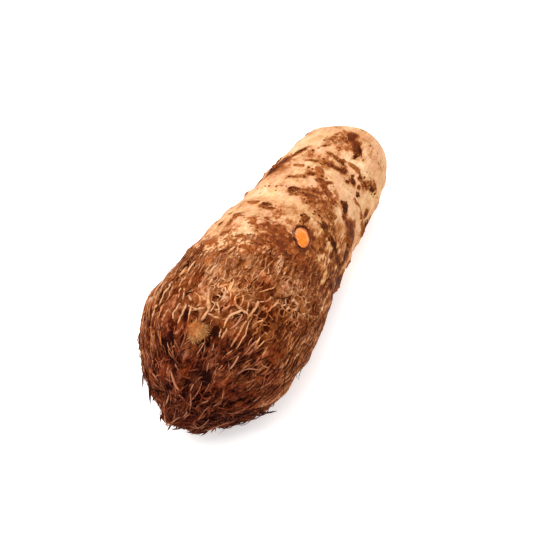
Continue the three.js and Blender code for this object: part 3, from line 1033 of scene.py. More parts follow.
def makeSheathMaterial():
    material, tree, shader, place = newMaterial("leafBaseFibre")
    streak = grain(tree, place, 7.0, 900.0)[0]
    patchy = speckle(tree, place, 210.0, 4.0, 0.6)
    grit = speckle(tree, place, 560.0, 3.0, 0.6)
    fine = speckle(tree, place, 1300.0, 4.0, 0.65)
    names = ("ridge", "tone", "furrow", "place", "rust", "pale", "paintedShadeAndMurk", "clumpLightAndShade", "lightShadeAndTone", "calm")
    field = {name: attribute(tree, name) for name in names}
    down = field["place"]

    # the level runs from 0, darkest, to 1, palest; walls are paler than the tissue between them
    wall = between(tree, spread(tree, fine, 0.5, field["ridge"]), 0.15, 0.75)
    wallLevel = between(tree, field["tone"], 0.05, 0.8, 0.28, 0.66)
    level = addShare(tree, 0.18, wall, wallLevel)
    for noise, amount in ((patchy, 0.9), (streak, 0.28), (fine, 0.7)):
        level = spread(tree, noise, amount, level)
    # painted shade: darker in the grooves of the furrows and paler on their crests
    level = addShare(tree, level, field["furrow"], 0.2)
    level = sums(tree, "ADD", level, between(tree, down, 104.0, 146.0, 0.22, 0.0))
    tissue = between(tree, speckle(tree, place, 130.0, 4.0, 0.55), 0.48, 0.62)
    level = addShare(tree, level, tissue, 0.26)
    rust = between(tree, spread(tree, patchy, 0.6, field["rust"]), 0.35, 0.75)
    level = mixNumber(tree, times(tree, rust, 0.4), level, spread(tree, fine, 0.5, 0.45))
    level = addShare(tree, level, field["pale"], between(tree, grit, 0.35, 0.6, 0.0, 0.34))
    # painted shade in the hollows and on the flank, with the darker murk patches
    level = addShare(tree, level, field["paintedShadeAndMurk"], -0.55)
    # painted light and shade: raised clumps are paler and the hollows between them darker
    level = addShare(tree, level, field["clumpLightAndShade"], 0.5)
    level = sums(tree, "ADD", level, between(tree, down, 150.0, 176.0, 0.0, 0.06))
    # the patches of painted light and shade and of tone
    level = sums(tree, "ADD", level, field["lightShadeAndTone"])
    level = mixNumber(tree, times(tree, field["calm"], 0.3), level, 0.3)
    level = spread(tree, grit, 0.8, level)

    # warm tan towards the skin, deeper rust towards the growing tip
    upper = colourRamp(tree, level, [
        (0.0, paint(70, 22, 3)), (0.2, paint(112, 50, 13)), (0.42, paint(148, 82, 40)),
        (0.62, paint(182, 116, 74)), (0.82, paint(208, 147, 105)), (1.0, paint(228, 174, 134)),
    ])
    lower = colourRamp(tree, level, [
        (0.0, paint(44, 13, 8)), (0.2, paint(88, 33, 15)), (0.42, paint(124, 58, 30)),
        (0.65, paint(154, 84, 52)), (1.0, paint(192, 128, 98)),
    ])
    colour = mixColour(tree, between(tree, down, 146.0, 172.0), upper, lower)
    glow = between(tree, speckle(tree, place, 125.0, 3.0), 0.52, 0.62, 0.0, 0.55)
    glow = times(tree, glow, between(tree, level, 0.05, 0.4))
    warm = mixColour(tree, between(tree, down, 120.0, 160.0), paint(184, 112, 64), paint(146, 74, 32))
    colour = mixColour(tree, glow, colour, warm)
    rusted = times(tree, rust, between(tree, level, 0.15, 0.4))
    colour = mixColour(tree, rusted, colour, paint(140, 66, 28))
    tree.links.new(tinted(tree, place, 0.6, colour), shader.inputs["Base Color"])
    tree.links.new(between(tree, fine, 0.3, 0.7, 0.7, 0.95), shader.inputs["Roughness"])
    bumped(tree, shader, spread(tree, streak, 1.0, times(tree, fine, 0.8)), 0.0006, 1.0)
    return material


def makeSheath():
    corners, faces, values = closeGrid(sheathPoints, sheathFields)
    return makePiece("fibreSheath", corners, faces, makeSheathMaterial(), **values)


makeSheath()
print("fibre sheath made")


# Strands: loose fibres laid over the coat as closed tubes.

def layOnCoat(arcs, around, lifts):
    # Points this many mm above the coat. Past the tip, strands carry on along the corm.
    over = np.maximum(arcs - arcRows[-1], 0)
    held = np.minimum(arcs, arcRows[-1])
    normals = surfaceAt(held, around, bareNormals)
    points = surfaceAt(held, around, barePoints) + normals * (lifts + coatAt(held, around))[..., None]
    outward = normals * 0.45 + np.array([0.85, 0, -0.1])
    points += outward * over[..., None]
    points[..., 2] = np.maximum(points[..., 2], 0.2)  # clear of the floor
    return points, normals


def wander(starts, headings, lengths, v, pick):
    # Walks each strand over the skin. A heading of 0 runs to the tip, and a positive one turns to rising
    # degrees. Bend and wave are in radians.
    count = v["pointsEach"]
    arcs = np.empty((len(headings), count))
    around = np.empty_like(arcs)
    arcs[:, 0], around[:, 0] = starts
    bends = pick.normal(0, v["bend"], len(headings))
    waves = pick.uniform(0, v["wave"], len(headings)) if v["wave"] else 0
    phase = pick.uniform(0, 2 * math.pi, len(headings))
    turns = pick.uniform(0.6, 1.6, len(headings))
    stride = lengths / (count - 1)
    for i in range(1, count):
        share = i / (count - 1)
        heading = headings + bends * (share - 0.5) + waves * np.sin(2 * math.pi * turns * share + phase)
        girth = np.maximum(surfaceAt(np.minimum(arcs[:, i - 1], arcRows[-1]), around[:, i - 1], radii), 7)
        arcs[:, i] = arcs[:, i - 1] + np.cos(heading) * stride
        around[:, i] = around[:, i - 1] + np.sin(heading) * stride / girth
    return np.maximum(arcs, arcRows[0]), around


def tubes(paths, normals, widths, thicknesses, sides):
    # Points and faces of one closed tube a strand, flattened to the skin.
    strands, count = paths.shape[:2]
    along = np.gradient(paths, axis=1)
    along /= np.maximum(np.linalg.norm(along, axis=-1, keepdims=True), 1e-9)
    across = np.cross(along, normals)
    across /= np.maximum(np.linalg.norm(across, axis=-1, keepdims=True), 1e-9)
    up = np.cross(across, along)
    turn = (np.arange(sides) + 0.25) * 2 * math.pi / sides
    points = paths[:, :, None] + across[:, :, None] * (np.cos(turn) * widths[..., None] / 2)[..., None]
    points = points + up[:, :, None] * (np.sin(turn) * thicknesses[..., None] / 2)[..., None]
    points[..., 2] = np.maximum(points[..., 2], 0.02)
    index = np.arange(strands * count * sides).reshape(strands, count, sides)
    after = np.roll(index, -1, axis=2)
    walls = np.stack([index[:, :-1], index[:, 1:], after[:, 1:], after[:, :-1]], -1).reshape(-1, 4)
    caps = index[:, 0].tolist() + index[:, -1, ::-1].tolist()
    return points.reshape(-1, 3), walls.tolist() + caps


def strandPiece(name, v, arcs, around, lifts, widths, tones):
    # One piece from many strands. Tones run from 0, dark, to 1, pale, one a strand. Strands that would lie
    # under the corm are left out, and so are those that cross more pits and stout walls than their kind may.
    keep = surfaceAt(np.minimum(arcs, arcRows[-1]), around, barePoints)[..., 2].min(axis=1) > 0.6
    keep &= coatAt(arcs, around, "crowded").mean(axis=1) < v.get("crowding", 0.4)
    arcs, around, lifts, widths, tones = (x[keep] for x in (arcs, around, lifts, widths, tones))
    # painted shade: strands on the flank at low degrees are darker near the growing end
    degrees = degreesRound(around.mean(axis=1))
    tones = tones - 0.2 * window(-70, 44, 12, degrees) * ramp(122, 140, placeAt(arcs.mean(axis=1)))
    spots = {"arcs": arcs.mean(axis=1), "turns": around.mean(axis=1)}
    spots["girths"] = surfaceAt(np.minimum(spots["arcs"], arcRows[-1]), spots["turns"], radii)
    # strands take the same patches of painted light and shade and of tone as the surface under them
    tones = tones + 1.2 * lightShadeAndToneAt(spots)
    paths, normals = layOnCoat(arcs, around, lifts)
    sides, count = v["sides"], arcs.shape[1]
    points, faces = tubes(paths, normals, widths, widths * v["flatness"], sides)
    share = np.linspace(0, 1, count)[None, :, None] + np.zeros((len(arcs), 1, sides))
    tone = tones[:, None, None] + np.zeros((1, count, sides))
    place = np.repeat(placeAt(arcs)[..., None], sides, 2)
    return makePiece(name, points, faces, fibreMaterials[v["fibre"]], tone=tone, share=share, place=place)


def taper(v):
    # Width along a strand: thin at both ends, with the given shares at root and tip.
    root, tip = v["taper"]
    share = np.linspace(0, 1, v["pointsEach"])
    body = np.minimum(ramp(0, 0.18, share) * (1 - root) + root, ramp(1, 0.7, share) * (1 - tip) + tip)
    return body[None, :]


def pickWidths(v, count, pick):
    # A width for each strand between the two of its kind, tapered.
    return pick.uniform(*v["width"], count)[:, None] * taper(v)


def sharesAlong(v):
    # Shares from 0 to 1 along a strand.
    return np.linspace(0, 1, v["pointsEach"])[None, :]


def makeFibreMaterial(name, palePaint, midPaint, darkPaint, tipPaint):
    # Each strand has its own tone, with patches along it, and darkens towards the growing tip.
    material, tree, shader, place = newMaterial(name)
    streak, fleck = grain(tree, place, 6.0, 1500.0)
    patchy = speckle(tree, place, 240.0, 3.0)
    fine = speckle(tree, place, 800.0, 3.0)
    level = attribute(tree, "tone")
    for noise, amount in ((patchy, 0.9), (streak, 0.25), (fine, 0.8)):
        level = spread(tree, noise, amount, level)
    colour = mixColour(tree, between(tree, level, 0.0, 0.5), darkPaint, midPaint)
    colour = mixColour(tree, between(tree, level, 0.45, 1.0), colour, palePaint)
    ends = between(tree, attribute(tree, "share"), 0.75, 1.0, 0.0, 0.45)
    colour = mixColour(tree, ends, colour, tipPaint)
    lower = between(tree, attribute(tree, "place"), 145.0, 185.0, 0.0, 0.35)
    colour = mixColour(tree, lower, colour, tipPaint)
    tree.links.new(tinted(tree, place, 0.9, colour), shader.inputs["Base Color"])
    tree.links.new(between(tree, fleck, 0.0, 1.0, 0.55, 0.8), shader.inputs["Roughness"])
    bumped(tree, shader, streak, 0.0002, 0.6)
    return material


# Paints: palest, middle, darkest, and the one towards the tip.
fibrePaints = {
    "tanFibre": [(218, 163, 120), (170, 104, 58), (98, 40, 10), (120, 58, 26)],
    "rustFibre": [(192, 130, 100), (126, 60, 30), (50, 16, 8), (90, 35, 16)],
    "feltFibre": [(218, 160, 102), (194, 130, 74), (150, 90, 44), (184, 120, 66)],
}
fibreMaterials = {}
for name, paints in fibrePaints.items():
    fibreMaterials[name] = makeFibreMaterial(name, *(paint(*colour) for colour in paints))

combValues = {
    # rows: mm from the basal end, from degrees, to degrees, length, spacing, tone
    "tiers": [
        (134, 100, 132, 7.5, 2.9, 0.75), (153.5, 146, 174, 10, 2.6, 0.7),
        (141, 139, 190, 11, 3.0, 0.6), (166, 128, 205, 11, 3.0, 0.5), (125, 196, 260, 14, 3.6, 0.7),
        (150, 200, 300, 14, 3.6, 0.7), (132, 262, 330, 14, 3.6, 0.7), (165, 230, 320, 10, 3.6, 0.6),
        (118, -60, -10, 12, 3.4, 0.5), (147, -60, 20, 12, 3.4, 0.5),
    ],
    # two fibres that draw together: mm from the basal end, degrees round, length, gap where they start
    "pairs": [
        (154, 46, 7, 2.6), (143, 52, 6.5, 2.4), (146, 95, 6, 2.4), (139, 82, 6, 2.2), (131, 74, 5, 2.2),
    ],
    "pairTone": 0.75,
    "width": (0.55, 1.0),
    "taper": (0.6, 0.25),
    "bend": 0.15,
    "wave": 0.12,
    "lift": 0.3,
    "flatness": 0.75,
    "sides": 6,
    "pointsEach": 13,
    "fibre": "tanFibre",
    "seed": 17,
}


def makeLeafScarCombs():
    # Rows of stout parallel fibres that hang from a leaf scar towards the tip, and pairs of them.
    v = combValues
    pick = np.random.default_rng(v["seed"])
    starts, headings, lengths, tones = [], [], [], []
    for place, low, high, length, spacing, tone in v["tiers"]:
        girth = float(surfaceAt(arcAt(place), math.radians((low + high) / 2), radii))
        count = int(math.radians(high - low) * girth / spacing)
        turns = np.radians(np.linspace(low, high, count)) + pick.uniform(-0.7, 0.7, count) / girth
        starts.append(np.stack([arcAt(place) + pick.normal(0, 0.9, count), turns]))
        headings.append(pick.normal(0.03, 0.1, count))
        lengths.append(length * pick.uniform(0.55, 1.15, count))
        tones.append(pick.normal(tone, 0.2, count))
    for place, turn, length, gap in v["pairs"]:
        girth = float(surfaceAt(arcAt(place), math.radians(turn), radii))
        sides = np.array([-1, 1])
        turns = math.radians(turn) + sides * gap / 2 / girth
        starts.append(np.stack([arcAt(place) + pick.normal(0, 0.5, 2), turns]))
        headings.append(-sides * gap * 0.4 / length)
        lengths.append(length * pick.uniform(0.85, 1.1, 2))
        tones.append(pick.normal(v["pairTone"], 0.1, 2))
    starts = np.concatenate(starts, axis=1)
    headings, lengths, tones = (np.concatenate(x) for x in (headings, lengths, tones))
    count = len(headings)
    arcs, around = wander(starts, headings, lengths, v, pick)
    widths = pickWidths(v, count, pick)
    hump = v["lift"] * (1 + np.sin(np.linspace(0, math.pi, v["pointsEach"]))[None, :])
    lifts = hump + pick.uniform(-0.15, 0.2, count)[:, None]
    return strandPiece("leafScarCombs", v, arcs, around, lifts, widths, tones)


mattedValues = {
    "strands": 2000,
    "reach": (84, 172),  # mm from the basal end
    "heading": 0.5,
    "bend": 0.6,
    "wave": 0.3,
    "length": (2.5, 7),
    "width": (0.25, 0.55),
    "taper": (0.5, 0.3),
    "flatness": 0.7,
    "sides": 4,
    "pointsEach": 7,
    "fibre": "tanFibre",
    "seed": 29,
}


def scatterOnSheath(count, low, high, pick):
    # Random spots between two distances from the basal end, thinned out where the skin is bare.
    spots = []
    while len(spots) < count:
        place, turn = pick.uniform(low, high, 2000), pick.uniform(0, 2 * math.pi, 2000)
        arcs = arcAt(place)
        share = ramp(-0.3, 0.6, sheathCover(place, turn, surfaceAt(arcs, turn, barePoints)))
        even = surfaceAt(arcs, turn, radii) / 38  # fewer in a row where the corm is thin
        keep = pick.uniform(0, 1, 2000) < share * even
        spots += list(zip(arcs[keep], turn[keep]))
    return np.array(spots[:count]).T


def makeMattedFibres():
    # Short fine fibres that cross the net.
    v = mattedValues
    pick = np.random.default_rng(v["seed"])
    count = v["strands"]
    starts = scatterOnSheath(count, *v["reach"], pick)
    headings = pick.normal(0, v["heading"], count)
    arcs, around = wander(starts, headings, pick.uniform(*v["length"], count), v, pick)
    widths = pickWidths(v, count, pick)
    lifts = pick.uniform(-0.3, 0.35, count)[:, None] + 0 * arcs
    tones = pick.normal(0.4, 0.22, count) - 0.15 * ramp(135, 115, placeAt(starts[0]))
    return strandPiece("mattedFibres", v, arcs, around, lifts, widths, tones)


tipValues = {
    "strands": 360,
    "length": (4, 12),
    "width": (0.25, 0.7),
    "paleStrands": 90,
    "paleLength": (3, 11),
    "paleWidth": (0.3, 0.55),
    "taper": (0.4, 0.2),
    "bend": 0.6,
    "wave": 0.3,
    "flatness": 0.75,
    "sides": 5,
    "pointsEach": 13,
    "fibre": "rustFibre",
    "seed": 43,
}


def makeTipStrands():
    # Loose, crossing strands over the growing end: a dull mat, and some long pale ones on top.
    v = tipValues
    pick = np.random.default_rng(v["seed"])
    dull = scatterOnSheath(v["strands"], 154, 187, pick)
    pale = scatterOnSheath(v["paleStrands"], 157, 184, pick)
    starts = np.concatenate([dull, pale], axis=1)
    count = starts.shape[1]
    isPale = np.arange(count) >= v["strands"]
    leaning = np.where(pick.uniform(size=count) < 0.5, 0.5, -0.25)
    headings = np.clip(leaning + pick.normal(0, 0.45, count), -1.1, 1.3)
    lengths = np.where(isPale, pick.uniform(*v["paleLength"], count), pick.uniform(*v["length"], count))
    arcs, around = wander(starts, headings, lengths, v, pick)
    width = np.where(isPale, pick.uniform(*v["paleWidth"], count), pick.uniform(*v["width"], count))
    widths = width[:, None] * taper(v)
    hump = np.sin(np.linspace(0, math.pi, v["pointsEach"]))[None, :]
    lifts = (pick.uniform(-0.2, 0.6, count) + 0.5 * isPale)[:, None]
    lifts = lifts + hump * pick.uniform(0, 1.2, count)[:, None]
    tones = np.where(isPale, pick.normal(0.9, 0.2, count), pick.normal(0.28, 0.36, count))
    return strandPiece("tipStrands", v, arcs, around, lifts, widths, tones)


# Fibres that stand out: width in mm, tone from 0, dark, to 1, pale, then places (mm from the basal end,
# degrees round, mm above the coat).
looseFibres = [
    (1, 1.05, [(177.3, 112, 0.5), (179.7, 106, 0.9), (182.1, 96, 0.9), (183.4, 82, 0.5)]),
    (0.8, 0.5, [(171.6, 115, 0.4), (174.3, 106, 0.7), (174.9, 101, 0.4)]),
    (0.8, 0.9, [(177.1, 71, 0.6), (179.1, 73, 0.9), (181.2, 74, 0.8), (183.4, 63, 0.6), (186.3, 45, 0.4)]),
    (0.8, 0.6, [(178, 67, 0.5), (181.6, 68, 0.6)]),
    (0.75, 0.85, [(178.1, 41, 0.4), (180.3, 37, 0.8), (182.1, 45, 0.9), (183.9, 44, 0.7), (185.1, 40, 0.4)]),
    (0.7, 0.85, [(172.9, 40, 0.5), (174.5, 35, 0.8), (176.4, 27, 0.9), (177.9, 20, 0.7), (179.6, 24, 0.4)]),
    (0.8, 0.45, [(180.4, 23, 0.4), (182.6, 27, 0.7), (184.5, 39, 0.4)]),
    (0.8, 0.4, [(171.7, 81, 0.4), (170, 75, 0.7), (168.3, 72, 0.4)]),
    (0.8, 0.5, [(177.9, 99, 0.4), (178.1, 89, 0.8), (177.5, 77, 0.4)]),
    (0.8, 0.6, [(173.6, 53, 0.6), (175.2, 52, 0.5)]),
    (0.8, 1, [(164, 52, 0.4), (167.5, 50, 0.9), (169.8, 50, 0.4)]),
    (0.8, 0.95, [(164.5, 41, 0.4), (167.3, 41, 0.9), (169.4, 43, 0.4)]),
    (0.7, 0.95, [(157.2, 46, 0.5), (160.9, 47, 0.8), (162.6, 48, 0.4)]),
    (0.7, 0.85, [(156, 48.5, 0.5), (158.3, 49.5, 0.7), (160.3, 50, 0.4)]),
    (0.7, 0.85, [(156.2, 44.5, 0.5), (158.5, 45.5, 0.7), (160.2, 46, 0.4)]),
    (0.75, 0.8, [(164.4, 26, 0.4), (167, 28, 0.8), (169, 30, 0.8), (170.6, 29, 0.7), (172.2, 28, 0.4)]),
    (0.7, 0.95, [
        (165, 7, 0.4), (167.8, 6, 0.8), (170.4, 2, 0.9), (173.2, -2, 0.9), (176, -3, 0.8), (178, 7, 0.4),
    ]),
    (0.8, 0.6, [(160, 13, 0.4), (162.4, 11, 0.5)]),
    (0.85, 0.65, [(152, 9, 0.4), (155.2, 5, 0.5)]),
    (0.85, 0.65, [(145.8, 6, 0.4), (149.8, 3, 0.5)]),
    (0.8, 0.75, [(159.8, 39, 0.5), (162.4, 38, 0.4)]),
    (0.85, 0.7, [(170, 39, 0.5), (172.4, 34, 0.4)]),
    (1, -0.1, [(186.6, 190, 0.2), (187.4, 196, 2.4)]),
    (1.1, -0.2, [(186.4, 225, 0.2), (187.2, 228, 2.2)]),
    (1.2, -0.2, [(186.4, -78, 0.2), (187.2, -82, 2.4)]),
]
# Dark twigs that stand away, in the same terms but in mm above the bare corm.
twigs = [
    (1.5, -0.8, [(175, 165, 0.6), (178.5, 164, 1), (181, 163, 1.2), (184, 162, 1.7), (186, 160, 3.2)]),
    (0.9, -0.8, [(184.6, 150, -2), (184.8, 156, 0.4), (185.4, 161, 1.6)]),
    (1.2, -0.7, [(172, 170, 0.6), (174, 170.5, 1.2), (176.5, 171, 1.4)]),
    (1, -0.6, [(165.5, -21, 1), (162.5, -22, 2.6), (160, -23, 3.4), (158.2, -23, 4.6)]),
]
looseValues = {
    "taper": (0.5, 0.3),
    "flatness": 0.8,
    "sides": 7,
    "pointsEach": 13,
    "fibre": "rustFibre",
    "crowding": 2,
}


def drawnPaths(lines, count):
    # Smooth paths of this many points through lines of places.
    arcs, around, lifts = (np.empty((len(lines), count)) for i in range(3))
    for i, line in enumerate(lines):
        line = np.array(line, float)
        knots, turns = arcAt(line[:, 0]), np.radians(line[:, 1])
        girth = np.maximum(surfaceAt(knots, turns, radii), 7).mean()
        reach = np.concatenate([[0], np.cumsum(np.hypot(np.diff(knots), np.diff(turns) * girth))])
        steps = np.linspace(0, reach[-1], count)
        for path, values in ((arcs, knots), (around, turns), (lifts, line[:, 2])):
            path[i] = np.interp(steps, reach, values)
    return [smoothRows(path, 1.2, 1, False) for path in (arcs, around, lifts)]


def makeLooseFibres():
    # Single fibres that lie over the growing end, and dark twigs that stand away from it.
    v = looseValues
    widths, tones, lines = zip(*(looseFibres + twigs))
    arcs, around, lifts = drawnPaths(lines, v["pointsEach"])
    lifts[len(looseFibres):] -= coatAt(np.minimum(arcs, arcRows[-1]), around)[len(looseFibres):]
    widths = np.array(widths)[:, None] * taper(v)
    return strandPiece("looseFibres", v, arcs, around, lifts, widths, np.array(tones))


ribValues = {
    "from": 100.0,  # mm from the basal end
    "to": 168.0,
    "step": 3.7,  # mm from row to row
    "across": 3.1,  # mm from rib to rib where the corm is full
    "zigzag": 0.17,
    "jitter": 0.22,
    "share": 0.93,  # of the ribs that are drawn
    "width": (0.4, 0.8),
    "taper": (0.85, 0.85),
    "tone": (0.6, 0.18),  # middle and spread
    "flatness": 0.8,
    "sides": 5,
    "pointsEach": 7,
    "fibre": "tanFibre",
    "crowding": 0.85,
    "seed": 41,
}


def makeNetRibs():
    # Ribs round small six-sided cells, where the sheath wears down to a round net.
    v = ribValues
    pick = np.random.default_rng(v["seed"])
    rows = int((v["to"] - v["from"]) / v["step"])
    halves = 2 * int(2 * math.pi * fullRadius / v["across"] / 2) * 2
    row, half = np.meshgrid(np.arange(rows + 1), np.arange(halves), indexing="ij")
    up = np.where((row + half) % 2 == 0, 1, -1)
    knots = v["from"] + v["step"] * (row + v["zigzag"] * up + v["jitter"] * pick.normal(0, 1, row.shape))
    knots = arcAt(knots)
    turns = 2 * math.pi / halves * (half + 2 * v["jitter"] * pick.normal(0, 1, row.shape))
    lengthwise = [(r, h, r + 1, h) for r in range(rows) for h in range(halves) if (r + h) % 2 == 0]
    crosswise = [(r, h, r, (h + 1) % halves) for r in range(rows) for h in range(halves)]
    ends = np.array(lengthwise + crosswise)
    startArc, endArc = knots[ends[:, 0], ends[:, 1]], knots[ends[:, 2], ends[:, 3]]
    startTurn = turns[ends[:, 0], ends[:, 1]]
    stepTurn = wrapped(turns[ends[:, 2], ends[:, 3]] - startTurn)
    middle = {"place": placeAt((startArc + endArc) / 2), "turns": startTurn + stepTurn / 2}
    middle["degrees"] = degreesRound(middle["turns"])
    middle["points"] = surfaceAt((startArc + endArc) / 2, middle["turns"], barePoints)
    worn = 0.3 * layeredNoise(middle["points"], 7.0, 137, 3)
    keep = (netShares(middle)["round"] + worn > 0.42) & (pick.uniform(0, 1, len(ends)) < v["share"])
    keep &= sheathCover(middle["place"], middle["turns"], middle["points"]) > 0.3
    startArc, endArc, startTurn, stepTurn = (x[keep, None] for x in (startArc, endArc, startTurn, stepTurn))
    count = len(startArc)
    share = sharesAlong(v)
    bow = np.sin(math.pi * share)
    arcs = startArc + (endArc - startArc) * share + bow * pick.normal(0, 0.25, (count, 1))
    around = startTurn + stepTurn * share + bow * pick.normal(0, 0.008, (count, 1))
    lifts = 0.1 + 0 * arcs + pick.uniform(-0.15, 0.2, (count, 1))
    widths = pickWidths(v, count, pick)
    return strandPiece("netRibs", v, arcs, around, lifts, widths, pick.normal(*v["tone"], count))


wallValues = {
    "lift": (0.1, 0.6),  # mm above the coat for the lowest walls, and what the highest add
    "tone": (0.42, 0.45),  # the same for their tone
    "width": 0.75,  # share of the width of the wall in the sheath
    "stray": 0.35,  # mm along and up
    "strayRound": 0.01,  # radians
    "taper": (0.85, 0.7),
    "flatness": 0.9,
    "sides": 6,
    "pointsEach": 21,
    "fibre": "tanFibre",
    "crowding": 2,
    "seed": 37,
}


def makeNetWalls():
    # The stout walls of the net, as worn ribs that stand out of the coat.
    v = wallValues
    pick = np.random.default_rng(v["seed"])
    widths, highs, lines = zip(*netWalls)
    highs = np.array(highs)
    lifts = v["lift"][0] + v["lift"][1] * highs
    lines = [[(*spot, lift) for spot in line] for lift, line in zip(lifts, lines)]
    arcs, around, lifts = drawnPaths(lines, v["pointsEach"])
    arcs += smoothRows(pick.normal(0, v["stray"], arcs.shape), 1.5, 1, False)
    around += smoothRows(pick.normal(0, v["strayRound"], arcs.shape), 1.5, 1, False)
    lifts += smoothRows(pick.normal(0, v["stray"], arcs.shape), 1.2, 1, False)
    widths = np.array(widths)[:, None] * v["width"] * taper(v)
    widths = widths * (1 + smoothRows(pick.normal(0, 0.5, arcs.shape), 1.0, 1, False))
    tones = v["tone"][0] + v["tone"][1] * highs + pick.normal(0, 0.1, len(lines))
    return strandPiece("netWalls", v, arcs, around, lifts, widths, tones)


tuftValues = {
    "strands": 400,
    "heading": 0.9,
    "bend": 1.0,
    "wave": 0.5,
    "length": (3, 11),
    "width": (0.35, 1.1),
    "taper": (0.7, 0.2),
    "rise": 1.0,
    "flatness": 0.8,
    "sides": 4,
    "pointsEach": 9,
    "fibre": "rustFibre",
    "seed": 53,
}


def makeTipTuft():
    # Dark worn leaf bases that shag out round the growing tip.
    v = tuftValues
    pick = np.random.default_rng(v["seed"])
    count = v["strands"]
    starts = (arcRows[-1] - pick.gamma(2.0, 6.5, count), pick.uniform(0, 2 * math.pi, count))
    headings = pick.normal(0, v["heading"], count)
    arcs, around = wander(starts, headings, pick.uniform(*v["length"], count), v, pick)
    arcs = np.minimum(arcs, arcRows[-1] + pick.uniform(0, 4, count)[:, None])
    widths = pickWidths(v, count, pick)
    rise = sharesAlong(v) ** 1.5
    lifts = pick.uniform(-0.2, 0.7, count)[:, None] + rise * pick.gamma(1.1, v["rise"], count)[:, None]
    return strandPiece("tipTuft", v, arcs, around, lifts, widths, pick.normal(0.3, 0.3, count))


shredValues = {
    "shreds": 50,
    "reach": (80, 160),  # mm from the basal end
    "heading": 0.35,
    "bend": 0.4,
    "wave": 0,
    "length": (3, 8),
    "width": (0.8, 1.9),
    "taper": (0.6, 0.5),
    "flatness": 0.14,
    "sides": 6,
    "pointsEach": 7,
    "fibre": "tanFibre",
    "seed": 61,
}


def makePaperyShreds():
    # Blunt strips of dry sheath, flat on the skin and lifting at one end.
    v = shredValues
    pick = np.random.default_rng(v["seed"])
    count = v["shreds"]
    starts = scatterOnSheath(count, *v["reach"], pick)
    headings = pick.normal(0, v["heading"], count)
    arcs, around = wander(starts, headings, pick.uniform(*v["length"], count), v, pick)
    widths = pickWidths(v, count, pick)
    rise = sharesAlong(v) ** 2
    lifts = pick.uniform(0.0, 0.3, count)[:, None] + rise * pick.uniform(0, 0.8, count)[:, None]
    return strandPiece("paperyShreds", v, arcs, around, lifts, widths, pick.normal(0.4, 0.25, count))


hairValues = {
    "hairs": 150,
    "reach": (100, 182),  # mm from the basal end
    "heading": 0.8,
    "bend": 0.8,
    "wave": 0.5,
    "length": (4, 13),
    "width": (0.22, 0.4),
    "taper": (0.8, 0.3),
    "lift": 0.5,
    "flatness": 0.9,
    "sides": 4,
    "pointsEach": 9,
    "fibre": "rustFibre",
    "seed": 67,
    # mm from the basal end, degrees round, heading in degrees, length, rise
    "long": [
        (165, 160, 4, 12, 3.6), (168, 166, -2, 10, 3.0), (150, 12, -30, 12, 4.5), (172, -26, -24, 10, 4.0),
        (160, 250, 20, 10, 3.0), (158, 164, 0, 10, 3.0), (146, 150, 10, 8, 2.6), (130, 152, 14, 8, 2.6),
    ],
}


def makeStrayHairs():
    # Thin hairs that stand away from the coat.
    v = hairValues
    pick = np.random.default_rng(v["seed"])
    spots = scatterOnSheath(v["hairs"], *v["reach"], pick)
    longOnes = np.array(v["long"], float)
    starts = np.concatenate([spots, [arcAt(longOnes[:, 0]), np.radians(longOnes[:, 1])]], axis=1)
    headings = np.concatenate([pick.normal(0, v["heading"], v["hairs"]), np.radians(longOnes[:, 2])])
    lengths = np.concatenate([pick.uniform(*v["length"], v["hairs"]), longOnes[:, 3]])
    rises = np.concatenate([pick.gamma(1.6, 0.6, v["hairs"]), longOnes[:, 4]])
    count = len(headings)
    arcs, around = wander(starts, headings, lengths, v, pick)
    widths = pickWidths(v, count, pick)
    lifts = v["lift"] + sharesAlong(v) ** 1.6 * rises[:, None]
    return strandPiece("strayHairs", v, arcs, around, lifts, widths, pick.normal(0.3, 0.2, count))


makeLeafScarCombs()
makeMattedFibres()
makePaperyShreds()
makeTipStrands()
makeLooseFibres()
makeNetWalls()
makeNetRibs()
makeTipTuft()
makeStrayHairs()
print("strands made")


# The fresh orange scar and the felted bud.

def makeFleshMaterial():
    material, tree, shader, place = newMaterial("freshFlesh")
    patchy = speckle(tree, place, 500.0, 4.0, 0.6)
    fine = speckle(tree, place, 2200.0, 3.0)
    flesh = between(tree, patchy, 0.35, 0.65)
    colour = mixColour(tree, flesh, paint(242, 116, 24), paint(249, 136, 46))
    colour = mixColour(tree, between(tree, fine, 0.5, 0.75, 0.0, 0.5), colour, paint(253, 164, 100))
    rim = between(tree, spread(tree, patchy, 0.9, attribute(tree, "away")), 0.5, 0.85, 0.0, 0.85)
    colour = mixColour(tree, rim, colour, paint(240, 160, 104))
    edge = between(tree, attribute(tree, "away"), 0.86, 1.0, 0.0, 0.8)
    colour = mixColour(tree, edge, colour, paint(176, 80, 40))
    tree.links.new(colour, shader.inputs["Base Color"])
    shader.inputs["Roughness"].default_value = 0.5
    bumped(tree, shader, fine, 0.0003, 0.7)
    return material


scarValues = {
    "rings": 12,
    "spokes": 60,
    "ragged": 0.16,
    "seed": 71,
    "height": 0.55,  # mm above the skin in the middle
    "fall": 0.75,  # mm lower at the edge
    "depth": 1.3,  # mm that it reaches into the skin
}


def onEllipse(spot, reach, angle, stretch):
    # Places on the skin round a spot, stretched along the scar's long side.
    place, turn, radius = spot
    lean = math.radians(scarTilt)
    long = reach * np.cos(angle) * stretch
    short = reach * np.sin(angle) / stretch * (1.02 - 0.13 * np.cos(angle))
    girth = float(surfaceAt(arcAt(place), math.radians(turn), radii))
    arcs = arcAt(place) + long * math.cos(lean) - short * math.sin(lean)
    around = math.radians(turn) + (long * math.sin(lean) + short * math.cos(lean)) / girth
    return arcs, around


